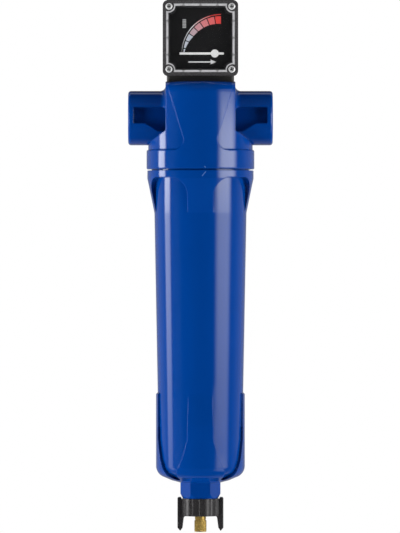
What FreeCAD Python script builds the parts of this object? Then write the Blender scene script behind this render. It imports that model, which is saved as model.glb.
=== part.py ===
import FreeCAD, Part
import math
import os
import Sketcher
from FreeCAD import Vector

doc = FreeCAD.newDocument("AirFilter")
sheet = doc.addObject("Spreadsheet::Sheet", "sizes")


class Size:
    """A length, angle or count: the sheet expression and its value."""

    def __init__(self, text, value):
        self.text = text
        self.value = float(value)

    def __add__(self, other):
        other = as_size(other)
        return Size("(%s + %s)" % (self.text, other.text), self.value + other.value)

    def __radd__(self, other):
        return as_size(other) + self

    def __sub__(self, other):
        other = as_size(other)
        return Size("(%s - %s)" % (self.text, other.text), self.value - other.value)

    def __rsub__(self, other):
        return as_size(other) - self

    def __mul__(self, other):
        other = as_size(other)
        return Size("(%s * %s)" % (self.text, other.text), self.value * other.value)

    def __rmul__(self, other):
        return as_size(other) * self

    def __truediv__(self, other):
        other = as_size(other)
        return Size("(%s / %s)" % (self.text, other.text), self.value / other.value)

    def __rtruediv__(self, other):
        return as_size(other) / self

    def __neg__(self):
        return Size("(0 - %s)" % self.text, -self.value)


def as_size(value):
    if isinstance(value, Size):
        return value
    return Size("%.6f" % value, value)


def sine(angle):
    return Size("sin(%s * 1 deg)" % angle.text, math.sin(math.radians(angle.value)))


def cosine(angle):
    return Size("cos(%s * 1 deg)" % angle.text, math.cos(math.radians(angle.value)))


sheet_rows = []


def size(alias, value, note):
    row = len(sheet_rows) + 1
    sheet.set("A%d" % row, alias)
    sheet.set("B%d" % row, repr(value))
    sheet.set("C%d" % row, note)
    sheet.setAlias("B%d" % row, alias)
    sheet_rows.append(alias)
    return Size("sizes." + alias, value)


# Sizes of the head
head_width = size("head_width", 115.6, "mm over the two port faces")
over_cut = size("over_cut", 10.0, "cuts run this far past what they cut")
axis_reach = size("axis_reach", 10.0, "length of the drawn turning axes")
head_top_z = size("head_top_z", 28.7, "gauge seat above the port axis")
head_foot_z = size("head_foot_z", -41.1, "lower rim of the head")
ring_radius = size("ring_radius", 43.2, "skirt and raised panel radius")
ring_top_z = size("ring_top_z", -25.4, "shoulder of the skirt")
ring_round = size("ring_round", 1.3, "rounding of the skirt shoulder")
rim_chamfer = size("rim_chamfer", 0.8, "chamfer of the lower rim")
neck_radius = ring_radius - ring_round
side_face_x = size("side_face_x", 27.8, "half width of the head block")
gusset_top_z = size("gusset_top_z", -10.3, "top of the slanted gusset")
gusset_foot_z = size("gusset_foot_z", -20.4, "foot of the slanted gusset")
crown_round = size("crown_round", 8.5, "rounding of the crown edge")
panel_top_half = size("panel_top_half", 27.4, "raised panel half width at the crown")
panel_waist_half = size("panel_waist_half", 13.3, "raised panel half width at the waist")
panel_waist_z = size("panel_waist_z", -17.2, "height of the panel waist")
panel_foot_round = size("panel_foot_round", 9.0, "flare of the panel into the skirt")
boss_half_height = size("boss_half_height", 21.7, "port boss half height")
boss_half_depth = size("boss_half_depth", 23.0, "port boss half depth")
boss_corner = size("boss_corner", 18.0, "port boss corner radius")
boss_edge_round = size("boss_edge_round", 2.2, "rounding of the port face edge")
web_round = size("web_round", 4.6, "web between boss top and block")
recess_end_x = size("recess_end_x", 53.4, "outer end of the side recess")
recess_top_z = size("recess_top_z", 8.2, "upper edge of the side recess")
recess_ledge_z = size("recess_ledge_z", -4.7, "flat ledge of the side recess")
recess_bend_x = size("recess_bend_x", 44.2, "where the ledge starts to slope")
recess_foot_x = size("recess_foot_x", 33.6, "end of the sloping ledge")
recess_foot_z = size("recess_foot_z", -11.0, "lowest point of the recess")
recess_floor_y = size("recess_floor_y", 16.6, "recess floor from the port axis")
recess_round = size("recess_round", 3.0, "rounded corner of the recess")
port_bore_radius = size("port_bore_radius", 13.2, "threaded wall of the ports")
port_bore_depth = size("port_bore_depth", 18.0, "depth of the threaded wall")
port_chamfer = size("port_chamfer", 1.2, "countersink of the port mouths")
passage_radius = size("passage_radius", 11.0, "air passages behind the ports")
inlet_end_x = size("inlet_end_x", 25.0, "end of the inlet passage")
skirt_wall = size("skirt_wall", 4.0, "wall of the skirt")
cavity_radius = ring_radius - skirt_wall
cavity_top_z = size("cavity_top_z", -27.2, "top of the bowl thread")
chamber_step = size("chamber_step", 6.2, "inlet chamber inside the bowl thread")
chamber_radius = cavity_radius - chamber_step
chamber_top_z = size("chamber_top_z", -15.0, "roof of the inlet chamber")
chamber_cone = size("chamber_cone", 3.4, "height of the step cone")
hub_radius = size("hub_radius", 18.0, "outlet hub in the head")
hub_foot_z = size("hub_foot_z", -30.0, "lower end of the outlet hub")
socket_radius = size("socket_radius", 12.0, "element socket in the hub")
socket_roof_z = size("socket_roof_z", 11.0, "roof of the socket")
drop_half_angle = size("drop_half_angle", 22.0, "degrees, inlet drop opening")
drop_roof_z = size("drop_roof_z", 8.0, "roof of the inlet drop")
tap_radius = size("tap_radius", 1.5, "pressure tap drillings")
high_tap_x = size("high_tap_x", -20.5, "inlet side pressure tap")
low_tap_x = size("low_tap_x", 9.5, "outlet side pressure tap")
mount_screw_x = size("mount_screw_x", 21.0, "gauge screws off the middle")
mount_screw_y = size("mount_screw_y", 16.0, "gauge screws behind the axis")
mount_hole_radius = size("mount_hole_radius", 2.1, "holes for the gauge screws")
mount_hole_depth = size("mount_hole_depth", 15.0, "screw holes in the head")

element_top_z = size("element_top_z", -33.0, "upper face of the top cap")
element_length = size("element_length", 183.0, "over both caps")
element_foot_z = element_top_z - element_length


def below(alias, value, note):
    """A height given as a distance down from the foot of the filter element."""
    return element_foot_z - size(alias, value, note)


# Sizes of the bowl
bowl_top_z = size("bowl_top_z", -42.0, "collar top under the joint gap")
collar_step = size("collar_step", 0.6, "collar inside the skirt face")
bowl_collar_radius = ring_radius - collar_step
collar_foot_z = size("collar_foot_z", -48.5, "start of the collar taper")
flare_bend_z = size("flare_bend_z", -53.4, "bend in the taper")
flare_lean = size("flare_lean", 1.1, "taper above the bend")
flare_bend_radius = bowl_collar_radius - flare_lean
flare_foot_z = size("flare_foot_z", -76.0, "end of the tapering lands")
scallop_sink = size("scallop_sink", 5.7, "bowl wall inside the collar")
core_top_radius = bowl_collar_radius - scallop_sink
wall_taper = size("wall_taper", 3.7, "draft of the bowl wall")
core_foot_radius = core_top_radius - wall_taper
core_foot_z = below("core_foot_drop", 62.9, "start of the dome")
spine_sink = size("spine_sink", 5.2, "solid middle inside the wall")
spine_radius = core_foot_radius - spine_sink
land_rise = size("land_rise", 2.4, "lower lands above the wall")
land_radius = core_foot_radius + land_rise
land_top_z = below("land_top_drop", 3.7, "upper end of the lower lands")
land_chamfer = size("land_chamfer", 1.2, "chamfer of the side land tops")
land_fade = size("land_fade", 1.4, "lands lower where they leave the wall")
land_root_radius = land_radius - land_fade
land_full_z = below("land_full_drop", 30.0, "front and back lands at full height")
side_land_angle = size("side_land_angle", 35.0, "degrees taken by a side land")
dome_step = size("dome_step", 5.1, "dome curve along the radius")
dome_mid_radius = land_radius - dome_step
dome_mid_z = below("dome_mid_drop", 70.9, "height of the dome curve end")
dome_slope = size("dome_slope", 7.5, "dome slope along the radius")
dome_low_radius = dome_mid_radius - dome_slope
dome_low_z = below("dome_low_drop", 74.1, "height of that edge")
dome_foot_radius = size("dome_foot_radius", 16.0, "dome at the hex")
dome_foot_z = below("dome_foot_drop", 76.0, "lowest point of the dome")
dome_curve = size("dome_curve", 9.6, "radius of the dome curve")
dome_inset = size("dome_inset", 2.0, "dome recess below the lands")
recess_turn = size("recess_turn", 45.0, "degrees, first recess off the front")
recess_count = size("recess_count", 4, "recesses round the bowl")
spade_sink = size("spade_sink", 6.0, "lower recesses cut past the solid middle")
spade_depth = spine_radius - spade_sink
scallop_half = size("scallop_half", 19.8, "upper recess half width")
scallop_foot_half = size("scallop_foot_half", 17.4, "upper recess half width below")
scallop_top_z = size("scallop_top_z", -47.6, "upper recess top")
scallop_round = size("scallop_round", 12.0, "upper recess corner radius")
spade_half = size("spade_half", 16.4, "lower recess half width")
spade_bend_z = below("spade_bend_drop", 41.0, "lower recess starts to narrow")
spade_waist_half = size("spade_waist_half", 12.0, "lower recess waist half width")
spade_waist_z = below("spade_waist_drop", 56.5, "height of the waist")
spade_tip_half = size("spade_tip_half", 6.0, "lower recess tip half width")
spade_tip_z = below("spade_tip_drop", 67.5, "height of the tip rounding")
hex_flats = size("hex_flats", 27.8, "hexagon across flats")
hex_foot_z = below("hex_foot_drop", 88.5, "lower face of the hexagon")
hex_chamfer_z = below("hex_chamfer_drop", 84.8, "start of the corner chamfer")
hex_chamfer_radius = size("hex_chamfer_radius", 14.2, "lower face of the chamfer")
thread_play = size("thread_play", 0.3, "play of the bowl thread")
bowl_neck_radius = cavity_radius - thread_play
bowl_neck_top_z = size("bowl_neck_top_z", -28.2, "top of the neck")
seal_groove_depth = size("seal_groove_depth", 2.8, "depth of the seal groove")
seal_groove_radius = bowl_neck_radius - seal_groove_depth
seal_groove_z = size("seal_groove_z", -32.5, "middle of the seal groove")
seal_groove_half = size("seal_groove_half", 1.7, "half width of the groove")
bowl_oring_section = size("bowl_oring_section", 1.35, "bowl seal, section radius")
seal_play = size("seal_play", 0.05, "bowl seal off the wall it seals on")
bowl_oring_radius = cavity_radius - bowl_oring_section - seal_play
neck_wall = size("neck_wall", 4.7, "wall of the neck")
bowl_bore_top = bowl_neck_radius - neck_wall
bowl_wall = size("bowl_wall", 3.2, "wall of the bowl at the dome")
bowl_bore_foot = core_foot_radius - bowl_wall
bowl_bore_bend_z = size("bowl_bore_bend_z", -50.0, "inside starts to taper")
bowl_bore_foot_z = below("bowl_bore_foot_drop", 60.0, "inside at the dome, height")
floor_step = size("floor_step", 11.0, "floor curve along the radius")
bowl_floor_radius = bowl_bore_foot - floor_step
bowl_floor_z = below("bowl_floor_drop", 70.5, "floor inside")
bowl_floor_curve = size("bowl_floor_curve", 13.0, "curve into the floor")
drain_hole_radius = size("drain_hole_radius", 6.8, "hole for the drain stem")

# Sizes of the filter element
air_gap = size("air_gap", 3.5, "end caps inside the narrow end of the bowl")
cap_radius = bowl_bore_foot - air_gap
cap_thickness = size("cap_thickness", 4.0, "end cap discs")
cap_skirt = size("cap_skirt", 3.5, "end cap skirts")
cap_skirt_wall = size("cap_skirt_wall", 0.75, "wall of the skirts")
cap_skirt_inner = cap_radius - cap_skirt_wall
spigot_radius = size("spigot_radius", 11.7, "spigot of the top cap")
spigot_bore = size("spigot_bore", 8.6, "air way in the spigot")
spigot_top_z = size("spigot_top_z", -16.0, "upper end of the spigot")
spigot_chamfer = size("spigot_chamfer", 1.0, "lead-in of the spigot")
spigot_groove_radius = size("spigot_groove_radius", 10.1, "floor of the grooves")
spigot_groove_half = size("spigot_groove_half", 1.1, "half width of a groove")
spigot_groove_z = size("spigot_groove_z", -20.5, "upper groove")
spigot_groove_gap = size("spigot_groove_gap", 5.0, "between the two grooves")
element_oring_radius = size("element_oring_radius", 11.05, "element seals, middle circle")
element_oring_section = size("element_oring_section", 0.9, "element seals, section radius")
media_skin = size("media_skin", 0.9, "thickness of the medium along the radius")
pleat_count = size("pleat_count", 36, "number of pleats")
cage_play = size("cage_play", 0.15, "cage in the skirts")
cage_radius = cap_skirt_inner - cage_play
cage_wall = size("cage_wall", 0.8, "sheet of the outer cage")
media_gap = size("media_gap", 0.2, "outer folds inside the cage")
pleat_height = size("pleat_height", 9.2, "height of the pleats")
media_outer = cage_radius - cage_wall - media_gap
media_inner = media_outer - pleat_height
core_gap = size("core_gap", 1.2, "tube inside the inner folds")
core_radius = media_inner - core_gap
core_wall = size("core_wall", 1.2, "wall of the inner tube")
window_row_count = size("window_row_count", 6, "rows of windows in cage and tube")
window_bridge = size("window_bridge", 5.0, "sheet left between two rows")
window_pitch = (element_length - 2 * (cap_thickness + cap_skirt)) / window_row_count
window_height = window_pitch - window_bridge
cage_window_share = size("cage_window_share", 0.289, "half width of a cage window over the radius")
cage_window_half = cage_radius * cage_window_share
core_window_share = size("core_window_share", 0.324, "half width of a tube window over the radius")
core_window_half = core_radius * core_window_share
cage_columns = size("cage_columns", 8, "window columns round the cage")
core_columns = size("core_columns", 6, "window columns round the tube")

# Sizes of the drain
stem_radius = size("stem_radius", 6.5, "threaded stem of the drain")
stem_foot_z = below("stem_foot_drop", 101.6, "lower end of the stem")
stem_bore = size("stem_bore", 4.2, "bore for the nipple")
stem_bore_top_z = below("stem_bore_top_drop", 75.0, "end of the bore")
flange_radius = size("flange_radius", 15.4, "drain flange")
flange_thickness = size("flange_thickness", 3.0, "drain flange")
column_radius = size("column_radius", 7.5, "guide tube of the float")
column_top_z = below("column_top_drop", 24.0, "top of the guide tube")
valve_bore = size("valve_bore", 3.3, "water way above the seat")
seat_radius = size("seat_radius", 4.1, "valve seat")
seat_hole = size("seat_hole", 1.4, "hole in the valve seat")
seat_height = size("seat_height", 3.0, "valve seat")
slot_half = size("slot_half", 2.3, "lever slot half width")
slot_foot_z = below("slot_foot_drop", 67.5, "lower end of the slot")
slot_top_z = below("slot_top_drop", 58.5, "upper end of the slot")
ear_inner_x = size("ear_inner_x", 9.8, "ears of the lever pin")
ear_outer_x = size("ear_outer_x", 14.2, "ears of the lever pin")
ear_inner_y = size("ear_inner_y", 2.3, "ears of the lever pin")
ear_outer_y = size("ear_outer_y", 4.3, "ears of the lever pin")
ear_top_z = below("ear_top_drop", 63.0, "top of the ears")
lever_pin_x = size("lever_pin_x", 12.0, "lever pin off the axis")
lever_pin_z = below("lever_pin_drop", 64.8, "height of the lever pin")
lever_pin_radius = size("lever_pin_radius", 1.0, "lever pin")
lever_hole_radius = size("lever_hole_radius", 1.06, "hole in the lever")
lever_half_width = size("lever_half_width", 1.8, "lever half width")
lever_half_height = size("lever_half_height", 0.6, "lever half thickness")
lever_eye_radius = size("lever_eye_radius", 1.9, "eye of the lever")
lever_tip_x = size("lever_tip_x", 1.6, "inner end of the lever")
lever_end_x = size("lever_end_x", 16.4, "outer end of the lever")
poppet_radius = size("poppet_radius", 2.6, "valve disc")
poppet_height = size("poppet_height", 1.4, "valve disc")
poppet_stem_radius = size("poppet_stem_radius", 1.0, "valve stem")
poppet_top_z = below("poppet_top_drop", 65.7, "top of the valve stem")
drain_oring_radius = size("drain_oring_radius", 9.2, "drain seal, middle circle")
drain_oring_section = size("drain_oring_section", 0.9, "drain seal, section radius")
drain_groove_half = size("drain_groove_half", 1.1, "half width of its groove")
drain_groove_depth = size("drain_groove_depth", 1.8, "depth of its groove")
strainer_gap = size("strainer_gap", 0.6, "strainer inside the floor curve")
strainer_radius = bowl_floor_radius - strainer_gap
strainer_wall = size("strainer_wall", 0.7, "strainer wall")
strainer_height = size("strainer_height", 6.4, "strainer ring")
strainer_slot_half = size("strainer_slot_half", 1.3, "strainer slots")
strainer_slots = size("strainer_slots", 12, "number of strainer slots")
float_gap = size("float_gap", 8.0, "float inside the bowl wall")
float_outer = bowl_bore_foot - float_gap
float_inner = size("float_inner", 7.8, "bore of the float")
float_foot_z = below("float_foot_drop", 60.5, "lower face of the float at rest")
float_height = size("float_height", 29.0, "float")
float_chamfer = size("float_chamfer", 2.4, "chamfer of the float edges")
washer_radius = size("washer_radius", 12.3, "clamp washer")
washer_thickness = size("washer_thickness", 1.1, "clamp washer")
joint_gap = size("joint_gap", 0.05, "faces of parts that separate")
nut_radius = size("nut_radius", 14.7, "ring of the wing nut")
nut_top_z = below("nut_top_drop", 88.6, "upper face of the ring")
nut_foot_z = below("nut_foot_drop", 102.6, "lower face of the ring")
nut_recess_radius = size("nut_recess_radius", 12.8, "seat of the washer")
nut_recess_depth = size("nut_recess_depth", 1.4, "seat of the washer")
flute_count = size("flute_count", 12, "flutes round the ring")
flute_radius = size("flute_radius", 0.95, "flutes of the ring")
wing_outer_x = size("wing_outer_x", 18.4, "outer side of the wings")
wing_inner_x = size("wing_inner_x", 15.3, "horn of the wings beside the hexagon")
wing_top_z = below("wing_top_drop", 87.4, "top of the wings")
wing_tip_z = below("wing_tip_drop", 114.5, "tips of the wings")
wing_tip_x = size("wing_tip_x", 14.3, "inner side at the tips")
wing_tip_mid_x = size("wing_tip_mid_x", 16.2, "lowest point of the tips")
wing_tip_rise = size("wing_tip_rise", 2.6, "corners of the tips above their lowest point")
wing_root_x = size("wing_root_x", 11.4, "inner side at the ring")
wing_root_z = below("wing_root_drop", 104.6, "end of the root fillet")
wing_root_round = size("wing_root_round", 2.0, "root fillet")
wing_half = size("wing_half", 4.6, "wing half thickness")
nipple_neck_radius = size("nipple_neck_radius", 4.6, "neck of the nipple")
nipple_neck_top_z = below("nipple_neck_top_drop", 102.0, "neck of the nipple")
nipple_neck_foot_z = below("nipple_neck_foot_drop", 105.8, "neck of the nipple")
nipple_radius = size("nipple_radius", 4.9, "threaded end of the nipple")
nipple_foot_z = below("nipple_foot_drop", 115.4, "lower end of the nipple")
nipple_chamfer = size("nipple_chamfer", 0.8, "chamfer of the end")
nipple_spigot_radius = size("nipple_spigot_radius", 3.9, "spigot in the stem")
nipple_spigot_top_z = below("nipple_spigot_top_drop", 81.0, "top of the spigot")
nipple_bore = size("nipple_bore", 1.5, "upper water way")
nipple_mouth = size("nipple_mouth", 2.6, "lower water way")
nipple_mouth_z = below("nipple_mouth_drop", 103.5, "start of the lower water way")
nipple_groove_z = below("nipple_groove_drop", 86.0, "nipple seal groove")
nipple_groove_half = size("nipple_groove_half", 0.9, "half width of the groove")
nipple_groove_radius = size("nipple_groove_radius", 2.7, "floor of the groove")
nipple_oring_radius = size("nipple_oring_radius", 3.45, "nipple seal, middle circle")
nipple_oring_section = size("nipple_oring_section", 0.7, "nipple seal, section radius")

# Sizes of the differential pressure gauge
gauge_half_width = size("gauge_half_width", 26.8, "gauge housing half width")
gauge_top_z = size("gauge_top_z", 95.5, "top of the housing")
gauge_back_y = size("gauge_back_y", 22.0, "back of the housing")
gauge_block_y = size("gauge_block_y", -24.0, "front of the block")
gauge_face_y = size("gauge_face_y", -29.0, "front of the flange")
gauge_corner = size("gauge_corner", 2.5, "corners of the housing")
dial_mid_z = size("dial_mid_z", 63.0, "middle of the dial")
bezel_half = size("bezel_half", 30.0, "bezel half width")
bezel_corner = size("bezel_corner", 4.0, "corners of the bezel")
bezel_front_y = size("bezel_front_y", -34.0, "front of the bezel")
bezel_opening_half = size("bezel_opening_half", 25.5, "opening half width")
bezel_notch = size("bezel_notch", 5.5, "corner ears round the screws")
bezel_lip = size("bezel_lip", 1.4, "lip in front of the window")
bezel_pocket_half = size("bezel_pocket_half", 26.5, "window pocket half width")
bezel_pocket_notch = size("bezel_pocket_notch", 5.2, "ears in the window pocket")
window_half = size("window_half", 26.2, "window half width")
window_thickness = size("window_thickness", 2.2, "window")
seal_inner_half = size("seal_inner_half", 24.2, "inside of the window seal")
seal_inner_notch = size("seal_inner_notch", 5.4, "corner of the window seal")
chamber_half = size("chamber_half", 23.6, "dial chamber half width")
chamber_notch = size("chamber_notch", 5.4, "corner ears of the chamber")
chamber_floor_y = size("chamber_floor_y", -13.0, "floor of the dial chamber")
dial_half = size("dial_half", 24.9, "dial plate half width")
dial_notch = size("dial_notch", 5.4, "corner of the dial plate")
dial_thickness = size("dial_thickness", 1.0, "dial plate")
dial_rebate = size("dial_rebate", 1.1, "rebate for the dial plate")
dial_play = size("dial_play", 0.15, "play round the dial plate")
dial_hole = size("dial_hole", 1.7, "shaft hole in the dial")
pointer_x = size("pointer_x", 11.4, "pointer shaft")
pointer_z = size("pointer_z", 50.7, "pointer shaft")
pointer_hub = size("pointer_hub", 3.2, "hub of the pointer")
pointer_half = size("pointer_half", 0.9, "half width of the bar")
pointer_reach = size("pointer_reach", 28.0, "bar from the shaft")
pointer_tail = size("pointer_tail", 7.2, "tail behind the shaft")
pointer_thickness = size("pointer_thickness", 1.0, "pointer")
pointer_gap = size("pointer_gap", 0.3, "pointer in front of the dial")
shaft_radius = size("shaft_radius", 0.9, "pointer shaft")
shaft_back_y = size("shaft_back_y", -8.4, "back end of the shaft")
shaft_play = size("shaft_play", 0.05, "play of the shaft")
rotor_radius = size("rotor_radius", 5.0, "rotor magnet")
rotor_back_y = size("rotor_back_y", -16.0, "back of the rotor magnet")
rotor_thickness = size("rotor_thickness", 4.0, "rotor magnet")
bush_radius = size("bush_radius", 2.5, "shaft bush")
bush_back_y = size("bush_back_y", -7.5, "back of the bush")
bush_flange_radius = size("bush_flange_radius", 3.8, "flange of the bush")
bush_flange = size("bush_flange", 1.4, "flange of the bush")
stop_radius = size("stop_radius", 0.6, "pointer stop pins")
stop_reach = size("stop_reach", 19.4, "stop pins from the shaft")
stop_offset = size("stop_offset", 1.65, "stop pins beside the bar")
swing_angle = size("swing_angle", 95.0, "degrees of pointer swing")
piston_bore = size("piston_bore", 7.0, "cylinder in the housing")
piston_y = size("piston_y", 4.0, "cylinder behind the port axis")
piston_radius = size("piston_radius", 6.95, "piston")
piston_start_x = size("piston_start_x", -14.5, "left end of the piston at rest")
piston_length = size("piston_length", 12.0, "piston")
piston_cup_radius = size("piston_cup_radius", 4.1, "magnet seat in the piston")
piston_cup_depth = size("piston_cup_depth", 7.0, "magnet seat in the piston")
magnet_radius = size("magnet_radius", 4.0, "piston magnet")
magnet_length = size("magnet_length", 4.5, "piston magnet")
spring_radius = size("spring_radius", 5.4, "spring, middle of the wire")
spring_wire = size("spring_wire", 0.5, "wire radius")
spring_turns = size("spring_turns", 7, "turns of the spring")
plug_inner_x = size("plug_inner_x", 23.0, "inner face of the plugs")
plug_radius = size("plug_radius", 6.95, "plugs")
plug_groove_x = size("plug_groove_x", 25.0, "middle of the plug groove")
plug_groove_half = size("plug_groove_half", 0.85, "half width of the groove")
plug_groove_radius = size("plug_groove_radius", 5.4, "floor of the groove")
plug_oring_radius = size("plug_oring_radius", 6.2, "plug seals, middle circle")
plug_oring_section = size("plug_oring_section", 0.7, "plug seals, section radius")
plug_socket = size("plug_socket", 2.6, "key socket across flats")
plug_socket_depth = size("plug_socket_depth", 1.2, "key socket")
tap_recess_radius = size("tap_recess_radius", 3.4, "recess of the tap seals")
tap_recess_depth = size("tap_recess_depth", 1.4, "recess of the tap seals")
tap_oring_radius = size("tap_oring_radius", 2.4, "tap seals, middle circle")
tap_oring_section = size("tap_oring_section", 0.65, "tap seals, section radius")
bezel_screw_half = size("bezel_screw_half", 25.0, "bezel screws off the middle")
bezel_screw_radius = size("bezel_screw_radius", 1.25, "bezel screw shanks")
bezel_screw_hole = size("bezel_screw_hole", 1.35, "bezel screw holes")
bezel_screw_head = size("bezel_screw_head", 2.55, "bezel screw heads")
bezel_screw_head_height = size("bezel_screw_head_height", 1.5, "bezel screw heads")
bezel_screw_bite = size("bezel_screw_bite", 4.0, "bezel screws in the flange")
mount_screw_radius = size("mount_screw_radius", 2.0, "gauge screw shanks")
mount_screw_head = size("mount_screw_head", 3.5, "gauge screw heads")
mount_screw_head_height = size("mount_screw_head_height", 4.0, "gauge screw heads")
mount_counterbore = size("mount_counterbore", 3.8, "counterbores of the gauge screws")
mount_counterbore_depth = size("mount_counterbore_depth", 5.0, "counterbores")
mount_screw_tip_z = size("mount_screw_tip_z", 15.5, "tips of the gauge screws")
mount_socket = size("mount_socket", 1.6, "key socket of the gauge screws")
mount_socket_depth = size("mount_socket_depth", 2.0, "key socket of the gauge screws")

half_width = head_width / 2
thread_start_x = half_width - port_chamfer
zero = as_size(0.0)
seal_flat_share = sine(as_size(22.5)) / cosine(as_size(22.5))


# Drawing helpers
def spot(u, v):
    return ("line", as_size(u), as_size(v), None, 0)


def bend(u, v, radius, turn):
    return ("arc", as_size(u), as_size(v), as_size(radius), turn)


def disc(u, v, radius):
    return ("disc", as_size(u), as_size(v), as_size(radius))


def seal_section(u, v, radius):
    """Section of a seal ring: eight flats round its middle point."""
    short = radius * seal_flat_share
    return [
        spot(u - short, v - radius),
        spot(u + short, v - radius),
        spot(u + radius, v - short),
        spot(u + radius, v + short),
        spot(u + short, v + radius),
        spot(u - short, v + radius),
        spot(u - radius, v + short),
        spot(u - radius, v - short),
    ]


def box(u_low, v_low, u_high, v_high):
    return [spot(u_low, v_low), spot(u_high, v_low), spot(u_high, v_high), spot(u_low, v_high)]


def round_box(u_low, v_low, u_high, v_high, corner):
    return [
        spot(u_high - corner, v_low),
        bend(u_high, v_low + corner, corner, 1),
        spot(u_high, v_high - corner),
        bend(u_high - corner, v_high, corner, 1),
        spot(u_low + corner, v_high),
        bend(u_low, v_high - corner, corner, 1),
        spot(u_low, v_low + corner),
        bend(u_low + corner, v_low, corner, 1),
    ]


def eared_box(half, notch):
    low = dial_mid_z - half
    high = dial_mid_z + half
    return [
        spot(half - notch, low),
        bend(half, low + notch, notch, -1),
        spot(half, high - notch),
        bend(half - notch, high, notch, -1),
        spot(notch - half, high),
        bend(-half, high - notch, notch, -1),
        spot(-half, low + notch),
        bend(notch - half, low, notch, -1),
    ]


def tie(sketch, constraint, value, path):
    index = sketch.addConstraint(constraint)
    if "sizes." in value.text:
        sketch.setExpression("Constraints[%d]" % index, value.text)
    return path


def place(sketch, geometry, end, u, v):
    tie(sketch, Sketcher.Constraint("DistanceX", geometry, end, u.value), u, "u")
    tie(sketch, Sketcher.Constraint("DistanceY", geometry, end, v.value), v, "v")


def arc_piece(start, finish, radius, turn):
    first = Vector(start[1].value, start[2].value, 0)
    last = Vector(finish[1].value, finish[2].value, 0)
    chord = last - first
    half = chord.Length / 2
    rise = math.sqrt(max(radius.value ** 2 - half ** 2, 0.0))
    side = Vector(-chord.y, chord.x, 0)
    side.normalize()
    middle = (first + last) * 0.5 + side * (rise * turn)
    start_angle = math.atan2(first.y - middle.y, first.x - middle.x)
    end_angle = math.atan2(last.y - middle.y, last.x - middle.x)
    circle = Part.Circle(middle, Vector(0, 0, 1), radius.value)
    if turn > 0:
        return Part.ArcOfCircle(circle, start_angle, end_angle), 1, 2
    return Part.ArcOfCircle(circle, end_angle, start_angle), 2, 1


def add_loop(sketch, loop):
    pieces = []
    count = len(loop)
    for number in range(count):
        start = loop[number]
        finish = loop[(number + 1) % count]
        if finish[0] == "arc":
            piece, tail, tip = arc_piece(start, finish, finish[3], finish[4])
        else:
            first = Vector(start[1].value, start[2].value, 0)
            last = Vector(finish[1].value, finish[2].value, 0)
            piece, tail, tip = Part.LineSegment(first, last), 1, 2
        index = sketch.addGeometry(piece, False)
        pieces.append((index, tail, tip, finish))
    for number in range(count):
        index, tail, tip, finish = pieces[number]
        following = pieces[(number + 1) % count]
        sketch.addConstraint(Sketcher.Constraint("Coincident", index, tip, following[0], following[1]))
        place(sketch, index, tip, finish[1], finish[2])
        if finish[0] == "arc":
            tie(sketch, Sketcher.Constraint("Radius", index, finish[3].value), finish[3], "r")


def add_disc(sketch, entry):
    middle = Vector(entry[1].value, entry[2].value, 0)
    index = sketch.addGeometry(Part.Circle(middle, Vector(0, 0, 1), entry[3].value), False)
    place(sketch, index, 3, entry[1], entry[2])
    tie(sketch, Sketcher.Constraint("Radius", index, entry[3].value), entry[3], "r")


def origin_part(body, role):
    return [item for item in body.Origin.OriginFeatures if item.Role == role][0]


def draw(body, name, role, loops, offset=None, axis=None, turn=None):
    sketch = body.newObject("Sketcher::SketchObject", name)
    sketch.AttachmentSupport = [(origin_part(body, role), "")]
    sketch.MapMode = "FlatFace"
    if turn is not None:
        away = offset * sine(turn)
        along = offset * cosine(turn)
        turned = FreeCAD.Rotation(Vector(0, 1, 0), turn.value)
        sketch.AttachmentOffset = FreeCAD.Placement(Vector(away.value, 0, along.value), turned)
        sketch.setExpression("AttachmentOffset.Base.x", away.text)
        sketch.setExpression("AttachmentOffset.Base.z", along.text)
        sketch.setExpression("AttachmentOffset.Rotation.Angle", turn.text)
    elif offset is not None:
        if "sizes." in offset.text:
            sketch.setExpression("AttachmentOffset.Base.z", offset.text)
        else:
            sketch.AttachmentOffset = FreeCAD.Placement(Vector(0, 0, offset.value), FreeCAD.Rotation())
    for loop in loops:
        if isinstance(loop, tuple):
            add_disc(sketch, loop)
        else:
            add_loop(sketch, loop)
    if axis is not None:
        first = Vector(axis[0].value, axis[1].value, 0)
        last = Vector(axis[2].value, axis[3].value, 0)
        index = sketch.addGeometry(Part.LineSegment(first, last), True)
        place(sketch, index, 1, axis[0], axis[1])
        place(sketch, index, 2, axis[2], axis[3])
    return sketch


bodies = {}


def new_body(label):
    body = doc.addObject("PartDesign::Body", label + "_body")
    body.Label = label
    body.AllowCompound = True
    body.setExpression("Placement.Base.x", thread_start_x.text)
    bodies[label] = body
    return body


def bind(target, path, value):
    if "sizes." in value.text:
        target.setExpression(path, value.text)


def slab(body, name, kind, axis, loops, low, high, turn=None):
    """A pad or pocket between two planes square to an axis, or turned about the vertical."""
    low = as_size(low)
    high = as_size(high)
    role = {"x": "YZ_Plane", "y": "XZ_Plane", "z": "XY_Plane"}[axis]
    start = -high if axis == "y" else low
    sketch = draw(body, name + "_sketch", role, loops, start, None, turn)
    feature = body.newObject("PartDesign::" + kind, name)
    feature.Profile = sketch
    length = high - low
    feature.Length = length.value
    bind(feature, "Length", length)
    if kind == "Pocket":
        feature.Reversed = True
    body.Tip = feature
    return feature


def spin(body, name, kind, loops, role="XZ_Plane", offset=None, axis=None):
    """A revolved solid or groove about the vertical axis or a drawn axis."""
    sketch = draw(body, name + "_sketch", role, loops, offset, axis)
    feature = body.newObject("PartDesign::" + kind, name)
    feature.Profile = sketch
    feature.ReferenceAxis = (sketch, ["V_Axis"] if axis is None else ["Axis0"])
    feature.Angle = 360
    body.Tip = feature
    return feature


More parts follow.
